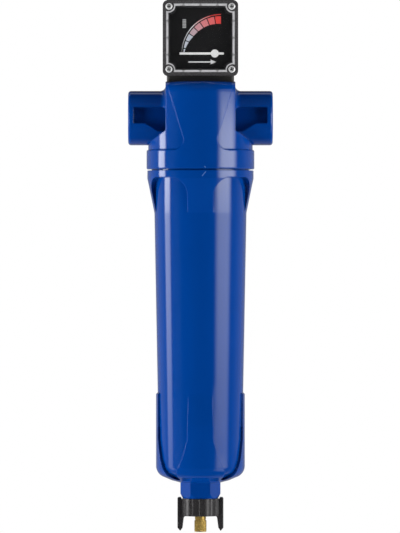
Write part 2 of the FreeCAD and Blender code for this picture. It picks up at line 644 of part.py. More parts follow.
def polar(body, name, feature, count, start_angle=360):
    pattern = body.newObject("PartDesign::PolarPattern", name)
    pattern.Originals = [feature]
    pattern.Axis = (origin_part(body, "Z_Axis"), [""])
    pattern.Angle = start_angle
    pattern.Occurrences = int(count.value)
    bind(pattern, "Occurrences", count)
    body.Tip = pattern
    return pattern


def mirror(body, name, feature, role):
    copy = body.newObject("PartDesign::Mirrored", name)
    copy.Originals = [feature]
    copy.MirrorPlane = (origin_part(body, role), [""])
    body.Tip = copy
    return copy


def about_x(y, z):
    """Drawing plane and axis of a part turned about a line along X."""
    return {"role": "XZ_Plane", "offset": -y, "axis": (zero, z, axis_reach, z)}


def about_y(x, z):
    """Drawing plane and axis of a part turned about a line along Y."""
    return {"role": "YZ_Plane", "offset": x, "axis": (zero, z, axis_reach, z)}


# Head: panel, block and skirt
head = new_body("head")
panel_foot_half = panel_waist_half + panel_foot_round
panel_foot_z = panel_waist_z - panel_foot_round
panel_sunk_z = panel_foot_z - 3
slab(head, "panel", "Pad", "y", [[
    spot(-panel_foot_half, panel_sunk_z),
    spot(panel_foot_half, panel_sunk_z),
    spot(panel_foot_half, panel_foot_z),
    bend(panel_waist_half, panel_waist_z, panel_foot_round, -1),
    spot(panel_top_half, head_top_z),
    spot(-panel_top_half, head_top_z),
    spot(-panel_waist_half, panel_waist_z),
    bend(-panel_foot_half, panel_foot_z, panel_foot_round, -1),
]], -(ring_radius + 6), ring_radius + 6)
crown_start_z = head_top_z - crown_round
outside_x = half_width + over_cut
spin(head, "panel_face", "Groove", [[
    spot(ring_radius, panel_sunk_z - 2),
    spot(outside_x, panel_sunk_z - 2),
    spot(outside_x, head_top_z + 2),
    spot(ring_radius - crown_round, head_top_z + 2),
    spot(ring_radius - crown_round, head_top_z),
    bend(ring_radius, crown_start_z, crown_round, -1),
]])
spin(head, "head_core", "Revolution", [[
    spot(0, head_foot_z),
    spot(ring_radius - rim_chamfer, head_foot_z),
    spot(ring_radius, head_foot_z + rim_chamfer),
    spot(ring_radius, ring_top_z - ring_round),
    bend(neck_radius, ring_top_z, ring_round, 1),
    spot(neck_radius, crown_start_z),
    bend(neck_radius - crown_round, head_top_z, crown_round, 1),
    spot(0, head_top_z),
]])
slab(head, "side_faces", "Pocket", "y", [
    [
        spot(side_face_x, gusset_top_z),
        spot(neck_radius, gusset_foot_z),
        spot(outside_x, gusset_foot_z),
        spot(outside_x, head_top_z + 2),
        spot(side_face_x, head_top_z + 2),
    ],
    [
        spot(-side_face_x, gusset_top_z),
        spot(-side_face_x, head_top_z + 2),
        spot(-outside_x, head_top_z + 2),
        spot(-outside_x, gusset_foot_z),
        spot(-neck_radius, gusset_foot_z),
    ],
], -outside_x, outside_x)
slab(head, "port_bosses", "Pad", "x", [round_box(
    -boss_half_depth, -boss_half_height, boss_half_depth, boss_half_height, boss_corner)],
    -half_width, half_width)
doc.recompute()


def edges_where(feature, test):
    names = []
    for number, edge in enumerate(feature.Shape.Edges):
        first = edge.valueAt(edge.FirstParameter)
        last = edge.valueAt(edge.LastParameter)
        middle = edge.valueAt((edge.FirstParameter + edge.LastParameter) / 2)
        if test(first, middle, last):
            names.append("Edge%d" % (number + 1))
    return names


def ease(body, name, kind, feature, names, amount):
    dress = body.newObject("PartDesign::" + kind, name)
    dress.Base = (feature, names)
    path = "Radius" if kind == "Fillet" else "Size"
    setattr(dress, path, amount.value)
    bind(dress, path, amount)
    body.Tip = dress
    return dress


def on_port_face(first, middle, last):
    return all(abs(abs(point.x) - half_width.value) < 0.01 for point in (first, middle, last))


def on_boss_root(first, middle, last):
    on_side = all(abs(abs(point.x) - side_face_x.value) < 0.01 for point in (first, middle, last))
    on_boss = all(abs(point.y) <= boss_half_depth.value for point in (first, middle, last))
    return on_side and on_boss and recess_top_z.value < middle.z < head_top_z.value - 1


ease(head, "port_face_edges", "Fillet", head.Tip, edges_where(head.Tip, on_port_face), boss_edge_round)


def recess(sign):
    return [
        spot(sign * side_face_x, recess_top_z - recess_round),
        bend(sign * (side_face_x + recess_round), recess_top_z, recess_round, -sign),
        spot(sign * recess_end_x, recess_top_z),
        spot(sign * recess_end_x, recess_ledge_z),
        spot(sign * recess_bend_x, recess_ledge_z),
        spot(sign * recess_foot_x, recess_foot_z),
        spot(sign * side_face_x, recess_foot_z),
    ]


recess_depth_y = boss_half_depth + 4
recess_front = slab(head, "side_recesses", "Pocket", "y", [recess(1), recess(-1)], -recess_depth_y, -recess_floor_y)
mirror(head, "back_recesses", recess_front, "XZ_Plane")
doc.recompute()
ease(head, "boss_webs", "Fillet", head.Tip, edges_where(head.Tip, on_boss_root), web_round)

# Head: air ways
spin(head, "bowl_cavity", "Groove", [[
    spot(0, head_foot_z - 2),
    spot(cavity_radius + rim_chamfer, head_foot_z - 2),
    spot(cavity_radius + rim_chamfer, head_foot_z),
    spot(cavity_radius, head_foot_z + rim_chamfer),
    spot(cavity_radius, cavity_top_z),
    spot(chamber_radius, cavity_top_z + chamber_cone),
    spot(chamber_radius, chamber_top_z),
    spot(hub_radius, chamber_top_z),
    spot(hub_radius, hub_foot_z),
    spot(0, hub_foot_z),
]])
slab(head, "element_socket", "Pocket", "z", [disc(0, 0, socket_radius)], hub_foot_z - 1, socket_roof_z)
drop_cos = cosine(drop_half_angle)
drop_sin = sine(drop_half_angle)
slab(head, "inlet_drop", "Pocket", "z", [[
    spot(-chamber_radius * drop_cos, chamber_radius * drop_sin),
    bend(-chamber_radius * drop_cos, -chamber_radius * drop_sin, chamber_radius, 1),
    spot(-hub_radius * drop_cos, -hub_radius * drop_sin),
    bend(-hub_radius * drop_cos, hub_radius * drop_sin, hub_radius, -1),
]], chamber_top_z - 1, drop_roof_z)
slab(head, "inlet_passage", "Pocket", "x", [disc(0, 0, passage_radius)], -(half_width + 1), -inlet_end_x)
slab(head, "outlet_passage", "Pocket", "x", [disc(0, 0, passage_radius)], 0, half_width + 1)
port_profile_low = half_width - port_bore_depth
port_bore_end = port_bore_radius + port_chamfer
spin(head, "outlet_thread", "Groove", [[
    spot(port_profile_low, 0),
    spot(half_width + 1, 0),
    spot(half_width + 1, port_bore_end),
    spot(half_width, port_bore_end),
    spot(half_width - port_chamfer, port_bore_radius),
    spot(port_profile_low, port_bore_radius),
]], axis=(zero, zero, axis_reach, zero))
mirror(head, "inlet_thread", head.Tip, "YZ_Plane")
slab(head, "high_tap", "Pocket", "z", [disc(high_tap_x, 0, tap_radius)], drop_roof_z - 1, head_top_z + 1)
slab(head, "low_tap", "Pocket", "z", [disc(low_tap_x, 0, tap_radius)], socket_roof_z - 1, head_top_z + 1)
slab(head, "gauge_screw_holes", "Pocket", "z", [
    disc(mount_screw_x, mount_screw_y, mount_hole_radius),
    disc(-mount_screw_x, mount_screw_y, mount_hole_radius),
], head_top_z - mount_hole_depth, head_top_z + 1)
doc.recompute()

# Bowl: lands, recesses, wall and dome
bowl = new_body("bowl")
spin(bowl, "lands", "Revolution", [[
    spot(0, bowl_top_z),
    spot(bowl_collar_radius, bowl_top_z),
    spot(bowl_collar_radius, collar_foot_z),
    spot(flare_bend_radius, flare_bend_z),
    spot(core_top_radius, flare_foot_z),
    spot(spine_radius, flare_foot_z),
    spot(spine_radius, land_top_z),
    spot(land_root_radius, land_top_z),
    spot(land_radius, land_full_z),
    spot(land_radius, core_foot_z),
    bend(dome_mid_radius, dome_mid_z, dome_curve, -1),
    spot(dome_low_radius, dome_low_z),
    spot(dome_foot_radius, dome_foot_z),
    spot(0, dome_foot_z),
]])
recess_inner = spine_radius - 4
recess_outer = ring_radius + 12
scallop_edge_z = scallop_top_z - scallop_round
scallop_flat = scallop_half - scallop_round
scallop = slab(bowl, "scallop", "Pocket", "y", [[
    spot(-scallop_foot_half, flare_foot_z - 2),
    spot(scallop_foot_half, flare_foot_z - 2),
    spot(scallop_half, scallop_edge_z),
    bend(scallop_flat, scallop_top_z, scallop_round, 1),
    spot(-scallop_flat, scallop_top_z),
    bend(-scallop_half, scallop_edge_z, scallop_round, 1),
]], -recess_outer, -recess_inner, recess_turn)
polar(bowl, "scallops", scallop, recess_count)
spade = slab(bowl, "spade", "Pocket", "y", [[
    spot(-spade_half, land_top_z + 4),
    spot(-spade_half, spade_bend_z),
    spot(-spade_waist_half, spade_waist_z),
    spot(-spade_tip_half, spade_tip_z),
    bend(0, spade_tip_z - spade_tip_half, spade_tip_half, 1),
    bend(spade_tip_half, spade_tip_z, spade_tip_half, 1),
    spot(spade_waist_half, spade_waist_z),
    spot(spade_half, spade_bend_z),
    spot(spade_half, land_top_z + 4),
]], -recess_outer, -spade_depth, recess_turn)
polar(bowl, "spades", spade, recess_count)
spin(bowl, "wall", "Revolution", [[
    spot(0, scallop_top_z + 2),
    spot(core_top_radius, scallop_top_z + 2),
    spot(core_top_radius, flare_foot_z),
    spot(core_foot_radius, core_foot_z),
    bend(dome_mid_radius - dome_inset, dome_mid_z + dome_inset, dome_curve - dome_inset, -1),
    spot(dome_low_radius, dome_low_z + dome_inset),
    spot(dome_foot_radius, dome_foot_z + dome_inset),
    spot(0, dome_foot_z + dome_inset),
]])
side_land = spin(bowl, "side_land", "Revolution", [[
    spot(spine_radius, land_top_z),
    spot(land_radius - land_chamfer, land_top_z),
    spot(land_radius, land_top_z - land_chamfer),
    spot(land_radius, land_full_z - 1),
    spot(spine_radius, land_full_z - 1),
]])
side_land.Midplane = True
bind(side_land, "Angle", side_land_angle)
mirror(bowl, "other_side_land", side_land, "YZ_Plane")
spin(bowl, "neck", "Revolution", [[
    spot(0, bowl_neck_top_z),
    spot(bowl_neck_radius - rim_chamfer, bowl_neck_top_z),
    spot(bowl_neck_radius, bowl_neck_top_z - rim_chamfer),
    spot(bowl_neck_radius, seal_groove_z + seal_groove_half),
    spot(seal_groove_radius, seal_groove_z + seal_groove_half),
    spot(seal_groove_radius, seal_groove_z - seal_groove_half),
    spot(bowl_neck_radius, seal_groove_z - seal_groove_half),
    spot(bowl_neck_radius, bowl_top_z - 1),
    spot(0, bowl_top_z - 1),
]])
hex_half = hex_flats / 2
hex_side = hex_half * sine(as_size(30.0)) / cosine(as_size(30.0))
slab(bowl, "hexagon", "Pad", "z", [[
    spot(hex_side * 2, 0),
    spot(hex_side, hex_half),
    spot(-hex_side, hex_half),
    spot(hex_side * -2, 0),
    spot(-hex_side, -hex_half),
    spot(hex_side, -hex_half),
]], hex_foot_z, dome_foot_z + dome_inset + 1)
spin(bowl, "hexagon_chamfer", "Groove", [[
    spot(hex_chamfer_radius, hex_foot_z),
    spot(hex_chamfer_radius, hex_foot_z - 1),
    spot(hex_side * 2 + 2, hex_foot_z - 1),
    spot(hex_side * 2 + 2, hex_chamfer_z),
    spot(hex_side * 2, hex_chamfer_z),
]])
spin(bowl, "hollow", "Groove", [[
    spot(0, bowl_neck_top_z + 1),
    spot(bowl_bore_top, bowl_neck_top_z + 1),
    spot(bowl_bore_top, bowl_bore_bend_z),
    spot(bowl_bore_foot, bowl_bore_foot_z),
    bend(bowl_floor_radius, bowl_floor_z, bowl_floor_curve, -1),
    spot(0, bowl_floor_z),
]])
slab(bowl, "drain_hole", "Pocket", "z", [disc(0, 0, drain_hole_radius)], hex_foot_z - 1, bowl_floor_z + 1)

bowl_oring = new_body("bowl_oring")
spin(bowl_oring, "bowl_oring_ring", "Revolution", [
    seal_section(bowl_oring_radius, seal_groove_z, bowl_oring_section),
])

# Filter element
cap_low_z = element_top_z - cap_thickness
cap_high_z = element_foot_z + cap_thickness
top_cap = new_body("element_top_cap")
spin(top_cap, "top_cap_turned", "Revolution", [[
    spot(spigot_bore, spigot_top_z),
    spot(spigot_radius - spigot_chamfer, spigot_top_z),
    spot(spigot_radius, spigot_top_z - spigot_chamfer),
    spot(spigot_radius, spigot_groove_z + spigot_groove_half),
    spot(spigot_groove_radius, spigot_groove_z + spigot_groove_half),
    spot(spigot_groove_radius, spigot_groove_z - spigot_groove_half),
    spot(spigot_radius, spigot_groove_z - spigot_groove_half),
    spot(spigot_radius, spigot_groove_z - spigot_groove_gap + spigot_groove_half),
    spot(spigot_groove_radius, spigot_groove_z - spigot_groove_gap + spigot_groove_half),
    spot(spigot_groove_radius, spigot_groove_z - spigot_groove_gap - spigot_groove_half),
    spot(spigot_radius, spigot_groove_z - spigot_groove_gap - spigot_groove_half),
    spot(spigot_radius, element_top_z),
    spot(cap_radius, element_top_z),
    spot(cap_radius, cap_low_z - cap_skirt),
    spot(cap_skirt_inner, cap_low_z - cap_skirt),
    spot(cap_skirt_inner, cap_low_z),
    spot(spigot_bore, cap_low_z),
]])
element_orings = new_body("element_orings")
spin(element_orings, "element_oring_rings", "Revolution", [
    seal_section(element_oring_radius, spigot_groove_z, element_oring_section),
    seal_section(element_oring_radius, spigot_groove_z - spigot_groove_gap, element_oring_section),
])
media = new_body("pleated_media")
pleat_angle = 180 / pleat_count
pleat_cos = cosine(pleat_angle)
pleat_sin = sine(pleat_angle)
fold = slab(media, "pleat", "Pad", "z", [[
    spot(media_inner * pleat_cos, -media_inner * pleat_sin),
    spot((media_inner + media_skin) * pleat_cos, -(media_inner + media_skin) * pleat_sin),
    spot(media_outer, 0),
    spot((media_inner + media_skin) * pleat_cos, (media_inner + media_skin) * pleat_sin),
    spot(media_inner * pleat_cos, media_inner * pleat_sin),
    spot(media_outer - media_skin * 3, 0),
]], cap_high_z, cap_low_z)
polar(media, "pleats", fold, pleat_count)

window_top_z = cap_low_z - cap_skirt - window_bridge / 2
window_rows = []
for row in range(int(window_row_count.value)):
    row_top_z = window_top_z - window_pitch * row
    window_rows.append((row_top_z - window_height, row_top_z))
core = new_body("inner_core")
slab(core, "core_tube", "Pad", "z", [
    disc(0, 0, core_radius),
    disc(0, 0, core_radius - core_wall),
], cap_high_z, cap_low_z)
core_windows = slab(core, "core_window", "Pocket", "y", [
    box(-core_window_half, low, core_window_half, high) for low, high in window_rows
], -(core_radius + 2), -core_wall * 2)
polar(core, "core_windows", core_windows, core_columns)
cage = new_body("outer_cage")
slab(cage, "cage_tube", "Pad", "z", [
    disc(0, 0, cage_radius),
    disc(0, 0, cage_radius - cage_wall),
], cap_high_z, cap_low_z)
cage_windows = slab(cage, "cage_window", "Pocket", "y", [
    box(-cage_window_half, low, cage_window_half, high) for low, high in window_rows
], -(cage_radius + 2), -core_wall * 2)
polar(cage, "cage_windows", cage_windows, cage_columns)
bottom_cap = new_body("element_bottom_cap")
spin(bottom_cap, "bottom_cap_turned", "Revolution", [[
    spot(0, element_foot_z),
    spot(cap_radius, element_foot_z),
    spot(cap_radius, cap_high_z + cap_skirt),
    spot(cap_skirt_inner, cap_high_z + cap_skirt),
    spot(cap_skirt_inner, cap_high_z),
    spot(0, cap_high_z),
]])

# Drain inside the bowl
flange_top_z = bowl_floor_z + flange_thickness
drain_body = new_body("drain_body")
spin(drain_body, "drain_turned", "Revolution", [[
    spot(0, stem_foot_z),
    spot(stem_radius - nipple_chamfer, stem_foot_z),
    spot(stem_radius, stem_foot_z + nipple_chamfer),
    spot(stem_radius, bowl_floor_z),
    spot(drain_oring_radius - drain_groove_half, bowl_floor_z),
    spot(drain_oring_radius - drain_groove_half, bowl_floor_z + drain_groove_depth),
    spot(drain_oring_radius + drain_groove_half, bowl_floor_z + drain_groove_depth),
    spot(drain_oring_radius + drain_groove_half, bowl_floor_z),
    spot(flange_radius, bowl_floor_z),
    spot(flange_radius, flange_top_z),
    spot(column_radius, flange_top_z),
    spot(column_radius, column_top_z - nipple_chamfer),
    spot(column_radius - nipple_chamfer, column_top_z),
    spot(0, column_top_z),
]])
slab(drain_body, "ears", "Pad", "z", [
    box(ear_inner_x, ear_inner_y, ear_outer_x, ear_outer_y),
    box(ear_inner_x, -ear_outer_y, ear_outer_x, -ear_inner_y),
], flange_top_z - 1, ear_top_z)
seat_top_z = stem_bore_top_z + seat_height
slab(drain_body, "nipple_bore", "Pocket", "z", [disc(0, 0, stem_bore)], stem_foot_z - 1, seat_top_z)
slab(drain_body, "valve_room", "Pocket", "z", [disc(0, 0, valve_bore)], seat_top_z - 1, slot_top_z)
slab(drain_body, "lever_slot", "Pocket", "z", [
    box(0, -slot_half, column_radius + 1, slot_half),
], slot_foot_z, slot_top_z)
slab(drain_body, "water_slot", "Pocket", "z", [
    box(-(column_radius + 1), -slot_half, 0, slot_half),
], slot_foot_z, slot_top_z)
slab(drain_body, "pin_holes", "Pocket", "y", [
    disc(lever_pin_x, lever_pin_z, lever_pin_radius),
], -(ear_outer_y + 1), ear_outer_y + 1)
drain_oring = new_body("drain_oring")
spin(drain_oring, "drain_oring_ring", "Revolution", [
    seal_section(drain_oring_radius, bowl_floor_z + drain_oring_section, drain_oring_section),
])
valve_seat = new_body("valve_seat")
slab(valve_seat, "seat_ring", "Pad", "z", [
    disc(0, 0, seat_radius),
    disc(0, 0, seat_hole),
], stem_bore_top_z, seat_top_z)
poppet = new_body("valve_poppet")
poppet_foot_z = seat_top_z + joint_gap
spin(poppet, "poppet_turned", "Revolution", [[
    spot(0, poppet_foot_z),
    spot(poppet_radius, poppet_foot_z),
    spot(poppet_radius, poppet_foot_z + poppet_height),
    spot(poppet_stem_radius, poppet_foot_z + poppet_height),
    spot(poppet_stem_radius, poppet_top_z),
    spot(0, poppet_top_z),
]])
lever = new_body("float_lever")
lever_low_z = lever_pin_z - lever_half_height
lever_high_z = lever_pin_z + lever_half_height
slab(lever, "lever_arm", "Pad", "y", [
    box(lever_tip_x, lever_low_z, lever_end_x, lever_high_z),
], -lever_half_width, lever_half_width)
slab(lever, "lever_eye", "Pad", "y", [
    disc(lever_pin_x, lever_pin_z, lever_eye_radius),
], -lever_half_width, lever_half_width)
slab(lever, "lever_hole", "Pocket", "y", [
    disc(lever_pin_x, lever_pin_z, lever_hole_radius),
], -(lever_half_width + 1), lever_half_width + 1)
lever_pin = new_body("lever_pin")
slab(lever_pin, "lever_pin_rod", "Pad", "y", [
    disc(lever_pin_x, lever_pin_z, lever_pin_radius),
], -ear_outer_y, ear_outer_y)
strainer = new_body("drain_strainer")
slab(strainer, "strainer_ring", "Pad", "z", [
    disc(0, 0, strainer_radius),
    disc(0, 0, strainer_radius - strainer_wall),
], bowl_floor_z, bowl_floor_z + strainer_height)
strainer_slot = slab(strainer, "strainer_slot", "Pocket", "y", [
    box(-strainer_slot_half, bowl_floor_z + 1.2, strainer_slot_half, bowl_floor_z + strainer_height - 1.2),
], -(strainer_radius + 1), -ear_inner_x)
polar(strainer, "strainer_slots_round", strainer_slot, strainer_slots)
float_part = new_body("float")
float_top_z = float_foot_z + float_height
spin(float_part, "float_turned", "Revolution", [[
    spot(float_inner, float_foot_z),
    spot(float_outer - float_chamfer, float_foot_z),
    spot(float_outer, float_foot_z + float_chamfer),
    spot(float_outer, float_top_z - float_chamfer),
    spot(float_outer - float_chamfer, float_top_z),
    spot(float_inner, float_top_z),
]])

# Drain outside the bowl
washer = new_body("clamp_washer")
washer_top_z = hex_foot_z - joint_gap
slab(washer, "washer_ring", "Pad", "z", [
    disc(0, 0, washer_radius),
    disc(0, 0, drain_hole_radius),
], washer_top_z - washer_thickness, washer_top_z)
nut = new_body("drain_wing_nut")
slab(nut, "nut_ring", "Pad", "z", [disc(0, 0, nut_radius)], nut_foot_z, nut_top_z)
flute = slab(nut, "flute", "Pocket", "z", [
    disc(0, nut_radius + flute_radius / 3, flute_radius),
], nut_foot_z - 1, nut_top_z + 1)
polar(nut, "flutes", flute, flute_count)


def wing(sign):
    return [
        spot(sign * (nut_radius - 2), nut_top_z),
        spot(sign * wing_inner_x, nut_top_z),
        spot(sign * wing_inner_x, wing_top_z),
        spot(sign * (wing_outer_x - rim_chamfer), wing_top_z),
        spot(sign * wing_outer_x, wing_top_z - rim_chamfer),
        spot(sign * wing_outer_x, wing_tip_z + wing_tip_rise),
        spot(sign * wing_tip_mid_x, wing_tip_z),
        spot(sign * wing_tip_x, wing_tip_z + wing_tip_rise),
        spot(sign * (wing_root_x + wing_root_round), wing_root_z),
        bend(sign * wing_root_x, nut_foot_z, wing_root_round, sign),
    ]


slab(nut, "wings", "Pad", "y", [wing(1), wing(-1)], -wing_half, wing_half)
slab(nut, "nut_bore", "Pocket", "z", [disc(0, 0, drain_hole_radius)], nut_foot_z - 1, nut_top_z + 1)
slab(nut, "washer_seat", "Pocket", "z", [
    disc(0, 0, nut_recess_radius),
], nut_top_z - nut_recess_depth, nut_top_z + 1)
nipple = new_body("drain_nipple")
spin(nipple, "nipple_turned", "Revolution", [[
    spot(nipple_bore, nipple_spigot_top_z),
    spot(nipple_spigot_radius, nipple_spigot_top_z),
    spot(nipple_spigot_radius, nipple_groove_z + nipple_groove_half),
    spot(nipple_groove_radius, nipple_groove_z + nipple_groove_half),
    spot(nipple_groove_radius, nipple_groove_z - nipple_groove_half),
    spot(nipple_spigot_radius, nipple_groove_z - nipple_groove_half),
    spot(nipple_spigot_radius, nipple_neck_top_z),
    spot(nipple_neck_radius, nipple_neck_top_z),
    spot(nipple_neck_radius, nipple_neck_foot_z),
    spot(nipple_radius, nipple_neck_foot_z),
    spot(nipple_radius, nipple_foot_z + nipple_chamfer),
    spot(nipple_radius - nipple_chamfer, nipple_foot_z),
    spot(nipple_mouth, nipple_foot_z),
    spot(nipple_mouth, nipple_mouth_z),
    spot(nipple_bore, nipple_mouth_z + 1),
]])
nipple_oring = new_body("nipple_oring")
spin(nipple_oring, "nipple_oring_ring", "Revolution", [
    seal_section(nipple_oring_radius, nipple_groove_z, nipple_oring_section),
])

# Gauge housing
gauge = new_body("gauge_body")
slab(gauge, "gauge_block", "Pad", "z", [round_box(
    -gauge_half_width, gauge_block_y, gauge_half_width, gauge_back_y, gauge_corner)],
    head_top_z, gauge_top_z)
bezel_outline = round_box(
    -bezel_half, dial_mid_z - bezel_half, bezel_half, dial_mid_z + bezel_half, bezel_corner)
slab(gauge, "gauge_flange", "Pad", "y", [bezel_outline], gauge_face_y, gauge_block_y + 1)
slab(gauge, "dial_chamber", "Pocket", "y", [
    eared_box(chamber_half, chamber_notch),
], gauge_face_y - 1, chamber_floor_y)
dial_back_y = gauge_face_y + dial_rebate
slab(gauge, "dial_rebate_cut", "Pocket", "y", [
    eared_box(dial_half + dial_play, dial_notch - dial_play),
], gauge_face_y - 1, dial_back_y)
slab(gauge, "bush_hole", "Pocket", "y", [
    disc(pointer_x, pointer_z, bush_radius),
], chamber_floor_y - 1, bush_back_y)
slab(gauge, "cylinder", "Pocket", "x", [
    disc(piston_y, pointer_z, piston_bore),
], -(gauge_half_width + 1), gauge_half_width + 1)
slab(gauge, "gauge_high_tap", "Pocket", "z", [
    disc(high_tap_x, 0, tap_radius),
    disc(low_tap_x, 0, tap_radius),
], head_top_z - 1, pointer_z)
slab(gauge, "tap_recesses", "Pocket", "z", [
    disc(high_tap_x, 0, tap_recess_radius),
    disc(low_tap_x, 0, tap_recess_radius),
], head_top_z - 1, head_top_z + tap_recess_depth)
slab(gauge, "mount_holes", "Pocket", "z", [
    disc(mount_screw_x, mount_screw_y, mount_hole_radius),
    disc(-mount_screw_x, mount_screw_y, mount_hole_radius),
], head_top_z - 1, gauge_top_z + 1)
slab(gauge, "mount_counterbores", "Pocket", "z", [
    disc(mount_screw_x, mount_screw_y, mount_counterbore),
    disc(-mount_screw_x, mount_screw_y, mount_counterbore),
], gauge_top_z - mount_counterbore_depth, gauge_top_z + 1)


def four_discs(radius):
    found = []
    for side in (-1, 1):
        for level in (-1, 1):
            found.append(disc(side * bezel_screw_half, dial_mid_z + level * bezel_screw_half, radius))
    return found


slab(gauge, "bezel_screw_seats", "Pocket", "y", four_discs(bezel_screw_hole),
     gauge_face_y - 1, gauge_face_y + bezel_screw_bite + 0.4)

# Bezel, window, seal and dial
bezel = new_body("gauge_bezel")
slab(bezel, "bezel_frame", "Pad", "y", [bezel_outline], bezel_front_y, gauge_face_y)
slab(bezel, "bezel_opening", "Pocket", "y", [
    eared_box(bezel_opening_half, bezel_notch),
], bezel_front_y - 1, gauge_face_y + 1)
window_front_y = bezel_front_y + bezel_lip
slab(bezel, "window_pocket", "Pocket", "y", [
    eared_box(bezel_pocket_half, bezel_pocket_notch),
], window_front_y, gauge_face_y + 1)
slab(bezel, "bezel_screw_holes", "Pocket", "y", four_discs(bezel_screw_hole),
     bezel_front_y - 1, gauge_face_y + 1)
window = new_body("gauge_window")
window_back_y = window_front_y + window_thickness
slab(window, "window_plate", "Pad", "y", [
    eared_box(window_half, bezel_notch),
], window_front_y, window_back_y)
seal = new_body("window_seal")
slab(seal, "seal_frame", "Pad", "y", [
    eared_box(window_half, bezel_notch),
    eared_box(seal_inner_half, seal_inner_notch),
], window_back_y, gauge_face_y)
dial = new_body("dial_plate")
slab(dial, "dial_sheet", "Pad", "y", [
    eared_box(dial_half, dial_notch),
    disc(pointer_x, pointer_z, dial_hole),
], dial_back_y - dial_thickness, dial_back_y)

# Pointer, shaft and rotor magnet
pointer = new_body("pointer")
pointer_back_y = dial_back_y - dial_thickness - pointer_gap
pointer_front_y = pointer_back_y - pointer_thickness
slab(pointer, "pointer_bar", "Pad", "y", [
    box(pointer_x - pointer_reach, pointer_z - pointer_half, pointer_x + pointer_tail, pointer_z + pointer_half),
], pointer_front_y, pointer_back_y)
slab(pointer, "pointer_disc", "Pad", "y", [
    disc(pointer_x, pointer_z, pointer_hub),
], pointer_front_y, pointer_back_y)
slab(pointer, "pointer_eye", "Pocket", "y", [
    disc(pointer_x, pointer_z, shaft_radius),
], pointer_front_y - 1, pointer_back_y + 1)
shaft = new_body("pointer_shaft")
slab(shaft, "shaft_rod", "Pad", "y", [
    disc(pointer_x, pointer_z, shaft_radius),
], pointer_front_y, shaft_back_y)
rotor = new_body("rotor_magnet")
slab(rotor, "rotor_disc", "Pad", "y", [
    disc(pointer_x, pointer_z, rotor_radius),
    disc(pointer_x, pointer_z, shaft_radius),
], rotor_back_y - rotor_thickness, rotor_back_y)
bush = new_body("shaft_bush")
slab(bush, "bush_sleeve", "Pad", "y", [
    disc(pointer_x, pointer_z, bush_radius),
], chamber_floor_y, bush_back_y)
slab(bush, "bush_collar", "Pad", "y", [
    disc(pointer_x, pointer_z, bush_flange_radius),
], chamber_floor_y - bush_flange, chamber_floor_y)
slab(bush, "bush_bore", "Pocket", "y", [
    disc(pointer_x, pointer_z, shaft_radius + shaft_play),
], chamber_floor_y - bush_flange - 1, shaft_back_y + 0.3)
stops = new_body("pointer_stops")
swing_cos = cosine(swing_angle)
swing_sin = sine(swing_angle)
slab(stops, "stop_pins", "Pad", "y", [
    disc(pointer_x - stop_reach, pointer_z - stop_offset, stop_radius),
    disc(
        pointer_x - stop_reach * swing_cos + stop_offset * swing_sin,
        pointer_z + stop_reach * swing_sin + stop_offset * swing_cos,
        stop_radius),
], pointer_front_y, dial_back_y - dial_thickness)

# Piston, magnet, spring and plugs
piston = new_body("dp_piston")
slab(piston, "piston_rod", "Pad", "x", [
    disc(piston_y, pointer_z, piston_radius),
], piston_start_x, piston_start_x + piston_length)
piston_end_x = piston_start_x + piston_length
slab(piston, "magnet_seat", "Pocket", "x", [
    disc(piston_y, pointer_z, piston_cup_radius),
], piston_end_x - piston_cup_depth, piston_end_x + 1)
magnet = new_body("piston_magnet")
slab(magnet, "magnet_slug", "Pad", "x", [
    disc(piston_y, pointer_z, magnet_radius),
], piston_end_x - piston_cup_depth, piston_end_x - piston_cup_depth + magnet_length)
spring = new_body("piston_spring")
spring_start_x = piston_end_x + spring_wire + joint_gap
spring_length = plug_inner_x - spring_start_x - spring_wire - joint_gap
spring_profile = draw(spring, "spring_wire_sketch", "XZ_Plane", [
    [
        spot(spring_start_x - spring_wire, pointer_z + spring_radius - spring_wire),
        spot(spring_start_x + spring_wire, pointer_z + spring_radius - spring_wire),
        spot(spring_start_x + spring_wire, pointer_z + spring_radius + spring_wire),
        spot(spring_start_x - spring_wire, pointer_z + spring_radius + spring_wire),
    ],
], -piston_y, (zero, pointer_z, axis_reach, pointer_z))
coil = spring.newObject("PartDesign::AdditiveHelix", "spring_coil")
coil.Profile = spring_profile
coil.ReferenceAxis = (spring_profile, ["Axis0"])
coil.Mode = "height-turns-angle"
coil.Height = spring_length.value
bind(coil, "Height", spring_length)
coil.Turns = spring_turns.value
bind(coil, "Turns", spring_turns)
spring.Tip = coil


def plug(label, side):
    body = new_body(label)
    inner = side * plug_inner_x
    outer = side * gauge_half_width
    near = side * (plug_groove_x - plug_groove_half)
    far = side * (plug_groove_x + plug_groove_half)
    spin(body, label + "_turned", "Revolution", [[
        spot(inner, pointer_z),
        spot(inner, pointer_z + plug_radius),
        spot(near, pointer_z + plug_radius),
        spot(near, pointer_z + plug_groove_radius),
        spot(far, pointer_z + plug_groove_radius),
        spot(far, pointer_z + plug_radius),
        spot(outer, pointer_z + plug_radius),
        spot(outer, pointer_z),
    ]], **about_x(piston_y, pointer_z))
    socket_half = plug_socket
    ends = (gauge_half_width - plug_socket_depth, gauge_half_width + 1)
    if side < 0:
        ends = (-ends[1], -ends[0])
    slab(body, label + "_socket", "Pocket", "x", [box(
        piston_y - socket_half, pointer_z - socket_half, piston_y + socket_half, pointer_z + socket_half)],
        ends[0], ends[1])


